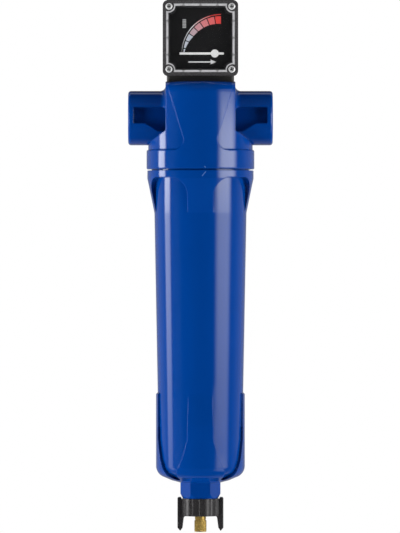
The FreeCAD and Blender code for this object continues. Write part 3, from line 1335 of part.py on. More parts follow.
plug("high_side_plug", -1)
plug("low_side_plug", 1)
plug_orings = new_body("plug_orings")
spin(plug_orings, "plug_oring_rings", "Revolution", [
    seal_section(plug_groove_x, pointer_z + plug_oring_radius, plug_oring_section),
    seal_section(-plug_groove_x, pointer_z + plug_oring_radius, plug_oring_section),
], **about_x(piston_y, pointer_z))
tap_orings = new_body("tap_orings")
spin(tap_orings, "high_tap_oring", "Revolution", [
    seal_section(high_tap_x + tap_oring_radius, head_top_z + tap_oring_section, tap_oring_section),
], axis=(high_tap_x, zero, high_tap_x, axis_reach))
spin(tap_orings, "low_tap_oring", "Revolution", [
    seal_section(low_tap_x + tap_oring_radius, head_top_z + tap_oring_section, tap_oring_section),
], axis=(low_tap_x, zero, low_tap_x, axis_reach))
bezel_screws = new_body("bezel_screws")
slab(bezel_screws, "bezel_screw_shanks", "Pad", "y", four_discs(bezel_screw_radius),
     bezel_front_y, gauge_face_y + bezel_screw_bite)
slab(bezel_screws, "bezel_screw_heads", "Pad", "y", four_discs(bezel_screw_head),
     bezel_front_y - bezel_screw_head_height, bezel_front_y)
mount_screws = new_body("gauge_mount_screws")
mount_seat_z = gauge_top_z - mount_counterbore_depth
screw_places = [(mount_screw_x, mount_screw_y), (-mount_screw_x, mount_screw_y)]
slab(mount_screws, "mount_screw_shanks", "Pad", "z", [
    disc(u, v, mount_screw_radius) for u, v in screw_places
], mount_screw_tip_z, mount_seat_z)
slab(mount_screws, "mount_screw_heads", "Pad", "z", [
    disc(u, v, mount_screw_head) for u, v in screw_places
], mount_seat_z, mount_seat_z + mount_screw_head_height)
slab(mount_screws, "mount_screw_sockets", "Pocket", "z", [
    box(u - mount_socket, v - mount_socket, u + mount_socket, v + mount_socket) for u, v in screw_places
], mount_seat_z + mount_screw_head_height - mount_socket_depth, mount_seat_z + mount_screw_head_height + 1)

doc.recompute()

# Checks and export
for item in doc.Objects:
    troubles = [state for state in item.State if state in ("Invalid", "Error")]
    if troubles:
        raise RuntimeError("%s is %s" % (item.Label, troubles))
os.makedirs("parts", exist_ok=True)
for label, body in bodies.items():
    shape = body.Shape
    if shape.isNull() or not shape.isValid():
        raise RuntimeError("%s has no valid shape" % label)
    if not shape.Solids:
        raise RuntimeError("%s has no solid" % label)
for label, body in bodies.items():
    body.Shape.exportStep("parts/%s.step" % label)
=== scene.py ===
"""Compressed air particulate filter: finishes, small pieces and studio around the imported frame."""

import math

import bmesh
import bpy
from mathutils import Matrix, Vector


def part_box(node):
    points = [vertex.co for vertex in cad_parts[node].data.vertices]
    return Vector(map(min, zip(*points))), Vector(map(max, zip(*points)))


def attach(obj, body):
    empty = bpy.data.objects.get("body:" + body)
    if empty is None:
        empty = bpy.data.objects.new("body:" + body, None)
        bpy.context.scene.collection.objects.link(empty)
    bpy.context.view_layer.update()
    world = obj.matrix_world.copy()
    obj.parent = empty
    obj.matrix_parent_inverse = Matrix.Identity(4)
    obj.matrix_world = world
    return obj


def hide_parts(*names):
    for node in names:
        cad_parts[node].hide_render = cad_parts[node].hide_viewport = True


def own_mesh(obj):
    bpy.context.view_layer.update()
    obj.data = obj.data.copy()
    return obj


bl_info = {
    "name": "Compressed Air Filter",
    "version": (1, 0, 0),
    "blender": (4, 5, 0),
    "location": "View3D > Sidebar > Air Filter",
    "description": "Dresses the packed compressed air filter and lights it in a plain studio",
    "category": "Add Mesh",
}

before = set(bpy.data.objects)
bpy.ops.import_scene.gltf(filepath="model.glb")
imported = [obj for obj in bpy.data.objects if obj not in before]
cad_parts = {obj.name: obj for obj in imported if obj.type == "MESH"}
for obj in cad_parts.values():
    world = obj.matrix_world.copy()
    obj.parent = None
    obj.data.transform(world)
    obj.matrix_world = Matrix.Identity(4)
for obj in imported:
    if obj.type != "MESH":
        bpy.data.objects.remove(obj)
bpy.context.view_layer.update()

MM = 0.001
TURN = 2.0 * math.pi
QUARTER = math.pi / 2.0
WHITE = (1.0, 1.0, 1.0)


# Places that the frame gives

def box_of(node):
    """The lowest and the highest corner of a CAD node's box at rest."""
    low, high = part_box(node)
    return Vector(low), Vector(high)


def middle_of(node):
    """The middle of a CAD node's box at rest."""
    low, high = box_of(node)
    return (low + high) / 2.0


BOWL_AXIS = Vector((middle_of("bowl").x, middle_of("bowl").y, 0.0))
UP = Vector((0.0, 0.0, 1.0))
COVER_OPENING = 25.5 * MM  # from the middle of the gauge cover to each side of its opening


# Node trees

def arithmetic(operation, turned_round=False):
    """An operator of wires that adds a Math node, with its values turned round for a reflected form."""
    def applied(wire, *value):
        values = (*value, wire) if turned_round else (wire, *value)
        return wire.graph.maths(operation, *values)
    return applied


class Wire:
    """One output of a node tree. Arithmetic on it adds Math nodes."""

    __add__ = arithmetic("ADD")
    __radd__ = arithmetic("ADD", turned_round=True)
    __sub__ = arithmetic("SUBTRACT")
    __rsub__ = arithmetic("SUBTRACT", turned_round=True)
    __mul__ = arithmetic("MULTIPLY")
    __rmul__ = arithmetic("MULTIPLY", turned_round=True)
    __truediv__ = arithmetic("DIVIDE")
    __abs__ = arithmetic("ABSOLUTE")

    def __init__(self, graph, socket):
        self.graph = graph
        self.socket = socket

    def other(self, output):
        """Another output of the same node."""
        return Wire(self.graph, self.socket.node.outputs[output])

    def clamped(self):
        """The value kept between 0 and 1."""
        return self.graph.maths("ADD", self, 0.0, clamp=True)


class Graph:
    """A node tree while it is being built."""

    def __init__(self, tree):
        self.tree = tree

    def feed(self, socket, value):
        """Links a wire to a socket, or sets the socket's own value."""
        if isinstance(value, Wire):
            self.tree.links.new(value.socket, socket)
        elif socket.type == "RGBA" and len(value) == 3:
            socket.default_value = (*value, 1.0)
        else:
            socket.default_value = value

    def node(self, kind, settings=None, inputs=None, output=0):
        """Adds a node with its settings and inputs, and returns the wire of one output."""
        made = self.tree.nodes.new(kind)
        for name, value in (settings or {}).items():
            setattr(made, name, value)
        for key, value in (inputs or {}).items():
            self.feed(made.inputs[key], value)
        return Wire(self, made.outputs[output]) if len(made.outputs) else None

    def maths(self, operation, *values, clamp=False):
        """A Math node on one, two or three values."""
        settings = {"operation": operation, "use_clamp": clamp}
        return self.node("ShaderNodeMath", settings, dict(enumerate(values)))

    def sloped(self, value, start, end, low=0.0, high=1.0):
        """A smooth step of a value, from low at start to high at end."""
        inputs = {"Value": value, 1: start, 2: end, 3: low, 4: high}
        return self.node("ShaderNodeMapRange", {"interpolation_type": "SMOOTHSTEP"}, inputs)

    def distance(self, across, up):
        """How far a point that lies across and up from a place is away from it."""
        return self.maths("SQRT", across * across + up * up)

    def split(self, vector):
        """The X, Y and Z of a vector."""
        first = self.node("ShaderNodeSeparateXYZ", inputs={0: vector})
        return first, first.other("Y"), first.other("Z")


class Finish(Graph):
    """A material while its nodes are being built. Lengths are in metres."""

    def __init__(self, name):
        self.material = bpy.data.materials.new("finish_" + name)
        self.material.use_nodes = True
        self.material.node_tree.nodes.clear()
        super().__init__(self.material.node_tree)
        self.place = self.node("ShaderNodeTexCoord", output="Object")

    def stretched(self, scale=(1.0, 1.0, 1.0), centre=(0.0, 0.0, 0.0)):
        """Object coordinates about a centre, scaled along each axis."""
        shift = [-part * times for part, times in zip(centre, scale)]
        return self.node("ShaderNodeMapping", inputs={"Vector": self.place, "Location": shift, "Scale": scale})

    def noise(self, size, detail=2.0, roughness=0.5, place=None):
        """Noise whose features are about that size."""
        inputs = {"Vector": place or self.place, "Scale": 1.0 / size, "Detail": detail, "Roughness": roughness}
        return self.node("ShaderNodeTexNoise", inputs=inputs)

    def cells(self, size, feature="F1"):
        """The distance field of cells of about that size."""
        inputs = {"Vector": self.place, "Scale": 1.0 / size}
        return self.node("ShaderNodeTexVoronoi", {"feature": feature}, inputs, "Distance")

    def mixed(self, share, first, second):
        """A colour between two colours."""
        return self.node("ShaderNodeMix", {"data_type": "RGBA"}, {0: share, 6: first, 7: second}, 2)

    def shaded(self, share, colour, dark, light):
        """A colour between a darker and a lighter form of itself."""
        return self.mixed(share, scaled(colour, dark), scaled(colour, light))

    def rounded(self, radius):
        """The normal with edges rounded off by a radius."""
        return self.node("ShaderNodeBevel", {"samples": 6}, {"Radius": radius})

    def edge_mask(self, rounded, gain):
        """How far the rounded normal leaves the true one, times a gain: above 0 along edges only."""
        true_normal = self.node("ShaderNodeNewGeometry", output="True Normal")
        same = self.node("ShaderNodeVectorMath", {"operation": "DOT_PRODUCT"}, {0: rounded, 1: true_normal}, "Value")
        return ((1.0 - same).clamped() * gain).clamped()

    def bump(self, height, distance, normal=None):
        """The normal of a height of that many metres from low to high."""
        inputs = {"Height": height, "Distance": distance, "Strength": 1.0}
        if normal:
            inputs["Normal"] = normal
        return self.node("ShaderNodeBump", inputs=inputs)

    def close(self, colour, roughness, normal, metallic=0.0, **constants):
        """Ends the material in a principled surface and returns it."""
        inputs = {"Base Color": colour, "Roughness": roughness, "Normal": normal, "Metallic": metallic}
        inputs.update({name.replace("_", " "): value for name, value in constants.items()})
        return self.shown(self.node("ShaderNodeBsdfPrincipled", inputs=inputs))

    def glow(self, strength):
        """White light of that strength."""
        return self.node("ShaderNodeEmission", inputs={"Color": WHITE, "Strength": strength})

    def shown(self, surface):
        """Ends the material in a surface and returns it."""
        self.node("ShaderNodeOutputMaterial", inputs={"Surface": surface})
        return self.material


def scaled(colour, times):
    """A colour made lighter or darker."""
    return tuple(min(1.0, part * times) for part in tuple(colour)[:3])


# Finishes

def enamel(name, colour, edge_radius):
    """Baked gloss enamel on a casting: orange peel, slow drift of shade, and edges lightened, partly as paint thinner
    along edges and partly as a painted highlight.
    """
    paint = Finish(name)
    drift = paint.noise(0.055, 3.0)
    peel = paint.noise(0.0026)
    grit = paint.noise(0.0005, 1.0)
    rounded = paint.rounded(edge_radius)
    # Edges are lightened: partly paint thinner there, partly a painted highlight.
    thinned_and_highlit_edges = paint.edge_mask(rounded, 1.6)
    coat = paint.mixed(thinned_and_highlit_edges * 0.35, paint.shaded(drift, colour, 0.92, 1.08), scaled(colour, 1.5))
    normal = paint.bump(peel * 0.75 + grit * 0.25, 0.010 * MM, rounded)
    rough = 0.09 + drift * 0.04 + grit * 0.03
    return paint.close(coat, rough, normal, IOR=1.52, Coat_Weight=0.5, Coat_Roughness=0.05)


def moulded(name, colour, roughness, grain_size, grain_depth, edge_radius, edge_lightening=1.6, **shine):
    """Injection moulded plastic: fine spark-eroded grain, flow marks, and rounded edges lightened partly as rubbed
    wear and partly as a painted highlight.
    """
    resin = Finish(name)
    grain = resin.noise(grain_size, 3.0, 0.6)
    pits = resin.cells(grain_size * 1.7)
    flow = resin.noise(1.0, place=resin.stretched((60.0, 60.0, 14.0)))
    rounded = resin.rounded(edge_radius)
    # Edges are lightened by the given factor: partly rubbed wear, partly a painted highlight.
    rubbed_and_highlit_edges = resin.edge_mask(rounded, 1.4)
    edge_lightened_tone = resin.mixed(rubbed_and_highlit_edges * 0.5, resin.shaded(flow, colour, 0.85, 1.15), scaled(colour, edge_lightening))
    normal = resin.bump(grain * 0.6 + pits * 0.4, grain_depth, rounded)
    return resin.close(edge_lightened_tone, roughness + grain * 0.10 + flow * 0.05 - rubbed_and_highlit_edges * 0.08, normal, **shine)


def smoky_cover(name, colour, seal, middle, opening, notch):
    """Smoky see-through cover: dark grain, with the pale seal glimmering through beside the opening, and rounded edges
    lightened as a painted highlight.
    """
    cover = Finish(name)
    across, _, up = cover.split(cover.stretched(centre=middle))
    wide, high = abs(across), abs(up)
    corner = cover.distance(wide - opening, high - opening)
    outside = cover.maths("MAXIMUM", cover.maths("MAXIMUM", wide, high) - opening, (notch - corner) * 1.7)
    wave = cover.noise(0.004, 3.0)
    nearer = cover.maths("MINIMUM", wide, high)
    rib = cover.maths("MINIMUM", nearer, abs(nearer - 13.5 * MM))
    line = cover.sloped(outside + wave * 0.6 * MM, 2.3 * MM, 1.7 * MM)
    band = line * cover.sloped(rib + outside * 0.5, 0.7 * MM, 1.9 * MM, 0.45, 1.0)
    grain = cover.noise(0.8 * MM, 3.0, 0.6)
    rounded = cover.rounded(0.5 * MM)
    # Rounded edges are lightened 2.2 times: a painted highlight.
    edge_lightened_tone = cover.mixed(cover.edge_mask(rounded, 1.4) * 0.5, colour, scaled(colour, 2.2))
    shade = cover.mixed(band * (0.5 + wave * 0.5), edge_lightened_tone, seal)
    return cover.close(shade, 0.22 + grain * 0.10, cover.bump(grain, 0.004 * MM, rounded))


def rubber(name, colour):
    """Moulded seal rubber: a dull bloom over a fine skin."""
    seal = Finish(name)
    bloom = seal.noise(0.004, 4.0, 0.6)
    skin = seal.noise(0.0003)
    shade = seal.shaded(bloom, colour, 0.8, 1.35)
    return seal.close(shade, 0.42 + bloom * 0.2 + skin * 0.1, seal.bump(skin, 0.008 * MM, seal.rounded(0.2 * MM)))


def turned(name, colour, roughness, axis, centre, groove=0.25 * MM, metallic=1.0):
    """Turned metal: tool marks square to an axis, with polish and tarnish in patches."""
    metal = Finish(name)
    along = [1.0 / groove if index == axis else 8.0 for index in range(3)]
    marks = metal.noise(1.0, 2.0, 0.7, place=metal.stretched(along, centre))
    tarnish = metal.noise(0.006, 4.0, 0.6)
    rounded = metal.rounded(0.15 * MM)
    shade = metal.shaded(tarnish, colour, 0.78, 1.12)
    rough = roughness + marks * 0.14 + tarnish * 0.08
    return metal.close(shade, rough, metal.bump(marks, 0.006 * MM, rounded), metallic)


def plated(name, colour, roughness, metallic=1.0, recess=None):
    """Plated or sintered metal: a fine crystalline skin with faint clouds, and painted shade that darkens screw
    recesses.
    """
    metal = Finish(name)
    crystals = metal.cells(0.0004)
    clouds = metal.noise(0.003, 3.0)
    rounded = metal.rounded(0.12 * MM)
    shade = metal.shaded(clouds, colour, 0.82, 1.1)
    if recess:
        middle, reach, radius, floor = recess
        across, depth, up = metal.split(metal.stretched(centre=middle))
        away = metal.distance(abs(across) - reach, abs(up) - reach)
        # The middle of each screw's cross recess is darkened to near black: painted shade.
        recess_painted_shade = metal.sloped(away, radius * 1.1, radius * 0.9) * metal.sloped(depth, floor - 0.3 * MM, floor)
        shade = metal.mixed(recess_painted_shade, shade, scaled(colour, 0.05))
    rough = roughness + crystals * 0.12 + clouds * 0.06
    return metal.close(shade, rough, metal.bump(crystals, 0.004 * MM, rounded), metallic)


def perforated_steel(name, colour):
    """Rolled stainless sheet: brushing along the wall and small dimples of the press, darkened as painted shade."""
    sheet = Finish(name)
    brushed = sheet.noise(1.0, 3.0, 0.7, place=sheet.stretched((90.0, 90.0, 5200.0), BOWL_AXIS))
    # The dimples are darkened to about a sixth of the steel's colour: painted shade in them.
    dark = sheet.sloped(sheet.cells(0.0021), 0.16, 0.26, 0.25, 1.0)
    shade = sheet.mixed(dark, scaled(colour, 0.16), sheet.shaded(brushed, colour, 0.82, 1.1))
    normal = sheet.bump(brushed * 0.1 + dark * 0.9, 0.05 * MM, sheet.rounded(0.15 * MM))
    return sheet.close(shade, 0.24 + brushed * 0.16, normal, metallic=1.0)


def pleated_fleece(name, colour):
    """Pressed fibre fleece: crossing fibres, soft clumps and a few stray dark fibres."""
    fleece = Finish(name)
    up = fleece.noise(1.0, 4.0, 0.7, place=fleece.stretched((2600.0, 2600.0, 240.0), BOWL_AXIS))
    across = fleece.noise(1.0, 4.0, 0.7, place=fleece.stretched((420.0, 2400.0, 2600.0), BOWL_AXIS))
    clumps = fleece.noise(0.005, 3.0)
    stray = fleece.sloped(fleece.cells(0.0016), 0.02, 0.10)
    fibres = up * 0.5 + across * 0.5
    shade = fleece.shaded(clumps * 0.6 + fibres * 0.4, colour, 0.76, 1.06)
    spotted = fleece.mixed(stray, scaled(colour, 0.55), shade)
    return fleece.close(spotted, 0.82 + fibres * 0.14, fleece.bump(fibres, 0.14 * MM))


def closed_foam(name, colour):
    """Closed cell foam of the float: round cells with narrow walls."""
    foam = Finish(name)
    walls = foam.sloped(foam.cells(0.0013, feature="DISTANCE_TO_EDGE"), 0.02, 0.16)
    stain = foam.noise(0.008, 3.0)
    shade = foam.shaded(walls * 0.7 + stain * 0.3, colour, 0.72, 1.05)
    return foam.close(shade, 0.66 + stain * 0.15, foam.bump(walls, 0.07 * MM, foam.rounded(0.4 * MM)))


def clear_window(name, colour, see_through):
    """Clear moulded window: nearly see-through, with faint wipe marks."""
    pane = Finish(name)
    wipe = pane.noise(1.0, 3.0, 0.6, place=pane.stretched((70.0, 70.0, 900.0)))
    normal = pane.bump(pane.noise(0.012, 1.0), 0.004 * MM, pane.rounded(0.3 * MM))
    alpha = (1.0 - see_through) + wipe * 0.03
    return pane.close(colour, 0.03 + wipe * 0.05, normal, Alpha=alpha, IOR=1.49)


def coated(name, colour, grain_size, cloud_size, dark, light, roughness, spread, edge_radius=None):
    """A satin film, such as the dial's anodising or the pointer's paint: fine grain under faint clouds."""
    coat = Finish(name)
    grain = coat.noise(grain_size)
    shade = coat.shaded(coat.noise(cloud_size), colour, dark, light)
    rounded = coat.rounded(edge_radius) if edge_radius else None
    return coat.close(shade, roughness + grain * spread, coat.bump(grain, 0.004 * MM, rounded))


def screen_ink(name):
    """Screen printed ink whose colour is painted on the print's own corners."""
    ink = Finish(name)
    tone = ink.node("ShaderNodeAttribute", {"attribute_name": "ink"}, output="Color")
    mesh_marks = ink.cells(0.00022)
    faded = ink.mixed(ink.noise(0.0012, 3.0) * 0.1, tone, (0.02, 0.02, 0.022))
    return ink.close(faded, 0.45 + mesh_marks * 0.2, ink.bump(mesh_marks, 0.006 * MM))


# Meshes

def shell_of(mesh):
    """Merges a mesh's doubles, turns its faces outwards and shades it smooth between sharp edges."""
    shell = bmesh.new()
    shell.from_mesh(mesh)
    bmesh.ops.remove_doubles(shell, verts=shell.verts, dist=0.0002 * MM)
    bmesh.ops.recalc_face_normals(shell, faces=shell.faces)
    shell.to_mesh(mesh)
    shell.free()
    mesh.shade_smooth()
    mesh.set_sharp_from_angle(angle=math.radians(32.0))


def new_piece(name, mesh):
    """An object at the origin that shows a mesh."""
    piece = bpy.data.objects.new(name, mesh)
    bpy.context.scene.collection.objects.link(piece)
    return piece


def drawn_piece(name, vertices, faces, closed=True):
    """An object at the origin with a mesh of these faces, finished as a shell where it is closed."""
    mesh = bpy.data.meshes.new(name)
    mesh.from_pydata(vertices, [], faces)
    if closed:
        shell_of(mesh)
    return new_piece(name, mesh)


def settled(piece):
    """Gives a piece the mesh that its modifiers make, and returns it."""
    depsgraph = bpy.context.evaluated_depsgraph_get()
    depsgraph.update()
    mesh = bpy.data.meshes.new_from_object(piece.evaluated_get(depsgraph))
    piece.modifiers.clear()
    piece.data = mesh
    return mesh


def finish_named(name):
    """A finish that has been made."""
    return bpy.data.materials["finish_" + name]


def fit_piece(piece, finish, body, replaced=()):
    """Gives a piece its finish and the body it rides on, and hides the CAD nodes it stands for."""
    piece.data.materials.clear()
    piece.data.materials.append(finish_named(finish))
    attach(piece, body)
    if replaced:
        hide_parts(*replaced)


def lathe(name, outline, axis_point, steps=96):
    """A closed turned piece about a vertical axis, from a closed outline of (radius, height)."""
    vertices = []
    faces = []
    count = len(outline)
    for step in range(steps):
        angle = TURN * step / steps
        here, there = step * count, (step + 1) % steps * count
        for index, (radius, height) in enumerate(outline):
            after = (index + 1) % count
            vertices.append(axis_point + Vector((math.cos(angle) * radius, math.sin(angle) * radius, height)))
            faces.append((here + index, there + index, there + after, here + after))
    return drawn_piece(name, vertices, faces)


def ring_outline(radius, height, section, points=24):
    """The round section of a seal ring."""
    angles = [TURN * index / points for index in range(points)]
    return [(radius + section * math.cos(angle), height + section * math.sin(angle)) for angle in angles]


class Ribbons:
    """Thin raised strips laid on a surface, each with its own ink colour."""

    def __init__(self, lay):
        self.lay = lay
        self.vertices = []
        self.faces = []
        self.inks = []

    def add(self, pairs, thickness, ink, sink=0.0):
        """A strip between matching points of two sides, raised by its thickness."""
        start = len(self.vertices)
        for left, right in pairs:
            for side, rise in ((left, -sink), (right, -sink), (right, thickness), (left, thickness)):
                self.vertices.append(self.lay(side[0], side[1], rise))
                self.inks.append(ink)
        for index in range(len(pairs) - 1):
            here = start + index * 4
            for corner in range(4):
                after = (corner + 1) % 4
                self.faces.append((here + corner, here + after, here + 4 + after, here + 4 + corner))
        self.faces.append(tuple(start + corner for corner in range(4)))
        last = start + (len(pairs) - 1) * 4
        self.faces.append(tuple(last + corner for corner in range(4)))

    def piece(self, name):
        """One piece of all the strips."""
        mesh = bpy.data.meshes.new(name)
        mesh.from_pydata(self.vertices, [], self.faces)
        tones = mesh.color_attributes.new("ink", "FLOAT_COLOR", "POINT")
        for index, ink in enumerate(self.inks):
            tones.data[index].color = (*tuple(ink)[:3], 1.0)
        shell_of(mesh)
        return new_piece(name, mesh)


# Geometry Nodes

SOCKET_KINDS = {float: "NodeSocketFloat", int: "NodeSocketInt", type(None): "NodeSocketObject"}


class Growth(Graph):
    """A Geometry Nodes tree whose inputs are named with their defaults, None for an object."""

    def __init__(self, name, inputs):
        tree = bpy.data.node_groups.new(name, "GeometryNodeTree")
        super().__init__(tree)
        tree.interface.new_socket("Geometry", in_out="OUTPUT", socket_type="NodeSocketGeometry")
        for label, default in inputs.items():
            socket = tree.interface.new_socket(label, in_out="INPUT", socket_type=SOCKET_KINDS[type(default)])
            if default is not None:
                socket.default_value = default
        tree.interface.new_socket("Finish", in_out="INPUT", socket_type="NodeSocketMaterial")
        entry = tree.nodes.new("NodeGroupInput")
        *self.inputs, self.finish = [Wire(self, entry.outputs[label]) for label in (*inputs, "Finish")]

    def close(self, geometry):
        """Realizes the geometry, gives it the finish and ends the tree."""
        real = self.node("GeometryNodeRealizeInstances", inputs={0: geometry})
        dressed = self.node("GeometryNodeSetMaterial", inputs={"Geometry": real, "Material": self.finish})
        self.node("NodeGroupOutput", inputs={0: dressed})
        return self.tree

    def grid(self, width, depth, along, over):
        """A flat grid with that many points along and over it."""
        inputs = {"Size X": width, "Size Y": depth, "Vertices X": along, "Vertices Y": over}
        return self.node("GeometryNodeMeshGrid", inputs=inputs)

    def sheet(self, around, across):
        """A unit grid and the two places of its points, each from 0 to 1."""
        grid = self.grid(1.0, 1.0, around, across)
        along, over, _ = self.split(self.node("GeometryNodeInputPosition"))
        return grid, along + 0.5, over + 0.5

    def wound(self, grid, angle, radius, height):
        """The grid wound about the Z axis, with its seams merged."""
        x = radius * self.maths("COSINE", angle)
        y = radius * self.maths("SINE", angle)
        place = self.node("ShaderNodeCombineXYZ", inputs={0: x, 1: y, 2: height})
        moved = self.node("GeometryNodeSetPosition", inputs={"Geometry": grid, "Position": place})
        return self.node("GeometryNodeMergeByDistance", inputs={"Geometry": moved, "Distance": 0.0004 * MM})


def thread_tree():
    """A thread ridge that follows a helix about Z and runs out at both ends."""
    tree = Growth("thread_ridge", {
        "Root Radius": 0.01, "Ridge Height": 0.001, "Sink": 0.0001, "Pitch": 0.002, "Turns": 6.0,
        "Root Width": 0.0015, "Crest Width": 0.0004, "Run Out": 0.4, "Steps": 400})
    root, ridge, sink, pitch, turns, root_width, crest_width, run_out, steps = tree.inputs
    # Five points go round the ridge: lower foot, both sides of the crest, upper foot and the lower foot again.
    grid, along, over = tree.sheet(steps, 5)
    raised = tree.maths("LESS_THAN", abs(over - 0.375), 0.2)
    upper = tree.maths("LESS_THAN", abs(over - 0.625), 0.2) * 2.0 - 1.0
    turned_by = along * turns
    fade = (turned_by / run_out).clamped() * ((turns - turned_by) / run_out).clamped()
    half_width = (root_width + (crest_width - root_width) * raised) * 0.5
    radius = (root - sink) + raised * fade * (ridge + sink)
    height = turned_by * pitch + upper * half_width * fade
    return tree.close(tree.wound(grid, turned_by * TURN, radius, height))


def knurl_tree():
    """A closed collar about Z whose outside carries a diamond knurl."""
    tree = Growth("knurled_collar", {
        "Inner Radius": 0.003, "Outer Radius": 0.005, "Length": 0.01, "Knurl Depth": 0.0003,
        "Diamonds Around": 28.0, "Diamonds Along": 8.0, "Steps Around": 225})
    inner, outer, collar, depth, diamonds_around, diamonds_along, steps = tree.inputs
    # Over the section it goes out at the foot, up the knurled outside, in at the top and down the bore.
    foot, top, bore, fade, whole = 0.05, 0.85, 0.90, 0.04, 64.0
    grid, along, over = tree.sheet(steps, 81)
    rise = (over / foot).clamped() - ((over - top) / foot).clamped()
    climb = ((over - foot) / (top - foot)).clamped() - ((over - bore) / (1.0 - bore)).clamped()
    around = along * diamonds_around
    up = climb * diamonds_along
    first = abs(tree.maths("FRACT", around + up) - 0.5) * 2.0
    second = abs(tree.maths("FRACT", around - up + whole) - 0.5) * 2.0
    ridge = tree.maths("MINIMUM", first, second)
    skin = tree.maths("GREATER_THAN", rise, 0.98)
    ends = ((over - foot) / fade).clamped() * ((top - over) / fade).clamped()
    cut = depth * (1.0 - ridge * ends) * skin
    radius = inner + (outer - inner) * rise - cut
    return tree.close(tree.wound(grid, along * TURN, radius, climb * collar))


def corner_tree():
    """The same piece set on the four corners of a rectangle, each turned by chance."""
    tree = Growth("corner_set", {"Piece": None, "Width": 0.05, "Depth": 0.05, "Seed": 3})
    pattern, width, depth, seed = tree.inputs
    grid = tree.grid(width, depth, 2, 2)
    angle = tree.node("FunctionNodeRandomValue", {"data_type": "FLOAT"}, {2: 0.0, 3: TURN, "Seed": seed}, 1)
    turn = tree.node("ShaderNodeCombineXYZ", inputs={2: angle})
    piece = tree.node("GeometryNodeObjectInfo", inputs={"Object": pattern}, output="Geometry")
    inputs = {"Points": grid, "Instance": piece, "Rotation": turn}
    return tree.close(tree.node("GeometryNodeInstanceOnPoints", inputs=inputs))


def grow_piece(name, tree, values, place, finish, body, slot, replaced=()):
    """Makes the plain mesh that a tree gives with these values, puts it in its place and fits it."""
    piece = new_piece(name, bpy.data.meshes.new(name + "_seed"))
    modifier = piece.modifiers.new("growth", "NODES")
    modifier.node_group = tree
    values = dict(values, Finish=finish_named(finish))
    for item in tree.interface.items_tree:
        if item.in_out == "INPUT" and item.name in values:
            modifier[item.identifier] = values[item.name]
    mesh = settled(piece)
    mesh.name = name
    mesh.transform(place)
    shell_of(mesh)
    fit_piece(piece, finish, body, replaced)


# Sizes and colours that a user would change

def length(name, description, millimetres):
    """A length property in metres."""
    return bpy.props.FloatProperty(
        name=name, description=description, default=millimetres * MM, precision=5, subtype="DISTANCE", unit="LENGTH")


def paint(name, description, colour):
    """A colour property."""
    return bpy.props.FloatVectorProperty(
        name=name, description=description, default=colour, size=3, min=0.0, max=1.0, subtype="COLOR")


class FilterSizes(bpy.types.PropertyGroup):
    """Sizes of the small pieces that the scene adds."""

    edge_radius: length("Cast Edge", "Radius that softens the edges of the castings", 1.2)
    port_bore: length("Port Bore", "Radius of the wall that the port thread is cut in", 13.2)
    port_depth: length("Port Thread Length", "Length of the thread in each port", 15.4)
    port_pitch: length("Port Pitch", "Distance between turns of the port thread", 1.814)
    port_ridge: length("Port Ridge", "Height of the port thread", 1.1)
    bowl_neck: length("Bowl Neck", "Radius of the neck that the bowl thread stands on", 38.9)
    bowl_pitch: length("Bowl Pitch", "Distance between turns of the bowl thread", 2.0)
    bowl_ridge: length("Bowl Ridge", "Height of the bowl thread", 0.24)
    bowl_seal_section: length("Bowl Seal", "Radius of the bowl seal's section", 1.35)
    outlet_radius: length("Outlet End", "Radius of the knurled end of the drain outlet", 4.9)
    outlet_mouth: length("Outlet Mouth", "Radius of the bore of the drain outlet", 2.6)
    outlet_length: length("Outlet End Length", "Length of the knurled end of the drain outlet", 9.6)
    knurl_depth: length("Knurl Depth", "Depth of the knurl on the drain outlet", 0.28)
    piston_travel: length("Piston Travel", "How far the gauge's piston shortens its spring", 10.0)
    screw_spacing: length("Cover Screw Spacing", "Distance between the screws of the gauge cover", 50.0)
    screw_radius: length("Cover Screw Head", "Radius of the pan heads on the gauge cover", 2.7)
    screw_height: length("Cover Screw Height", "Height of the pan heads on the gauge cover", 1.5)
    scale_radius: length("Scale Radius", "Outer radius of the coloured scale on the dial", 29.8)
    print_rise: length("Print Rise", "Thickness of the ink on the dial", 0.06)
    mark_width: length("Mark Width", "Width of the index marks on ring and bowl", 0.5)


class FilterColours(bpy.types.PropertyGroup):
    """Colours of the filter's finishes."""

    enamel: paint("Enamel", "Gloss enamel of head and bowl", (0.0, 0.0395, 0.232))
    housing: paint("Gauge Housing", "Moulded housing of the gauge", (0.034, 0.033, 0.032))
    bezel: paint("Gauge Cover", "Smoky cover frame of the gauge", (0.052, 0.050, 0.052))
    seal: paint("Cover Seal", "Pale seal that glimmers through the gauge cover", (0.62, 0.62, 0.64))
    dial: paint("Dial", "Dial plate", (0.006, 0.006, 0.007))
    ink: paint("Print", "Pale ink of the dial", (0.92, 0.93, 0.95))
    alarm: paint("Alarm Red", "Red end of the dial's scale", (1.0, 0.085, 0.075))
    calm: paint("Calm Grey", "Grey end of the dial's scale", (0.74, 0.80, 0.90))
    brass: paint("Brass", "Brass of the drain outlet", (0.86, 0.60, 0.17))
    nut: paint("Wing Nut", "Moulded wing nut of the drain", (0.022, 0.021, 0.022))
    mark: paint("Index Mark", "Index marks on ring and bowl", (0.10, 0.20, 0.50))


def sizes():
    """The sizes as they are set."""
    return bpy.context.scene.filter_sizes


def colours():
    """The colours as they are set."""
    return bpy.context.scene.filter_colours


# Pieces

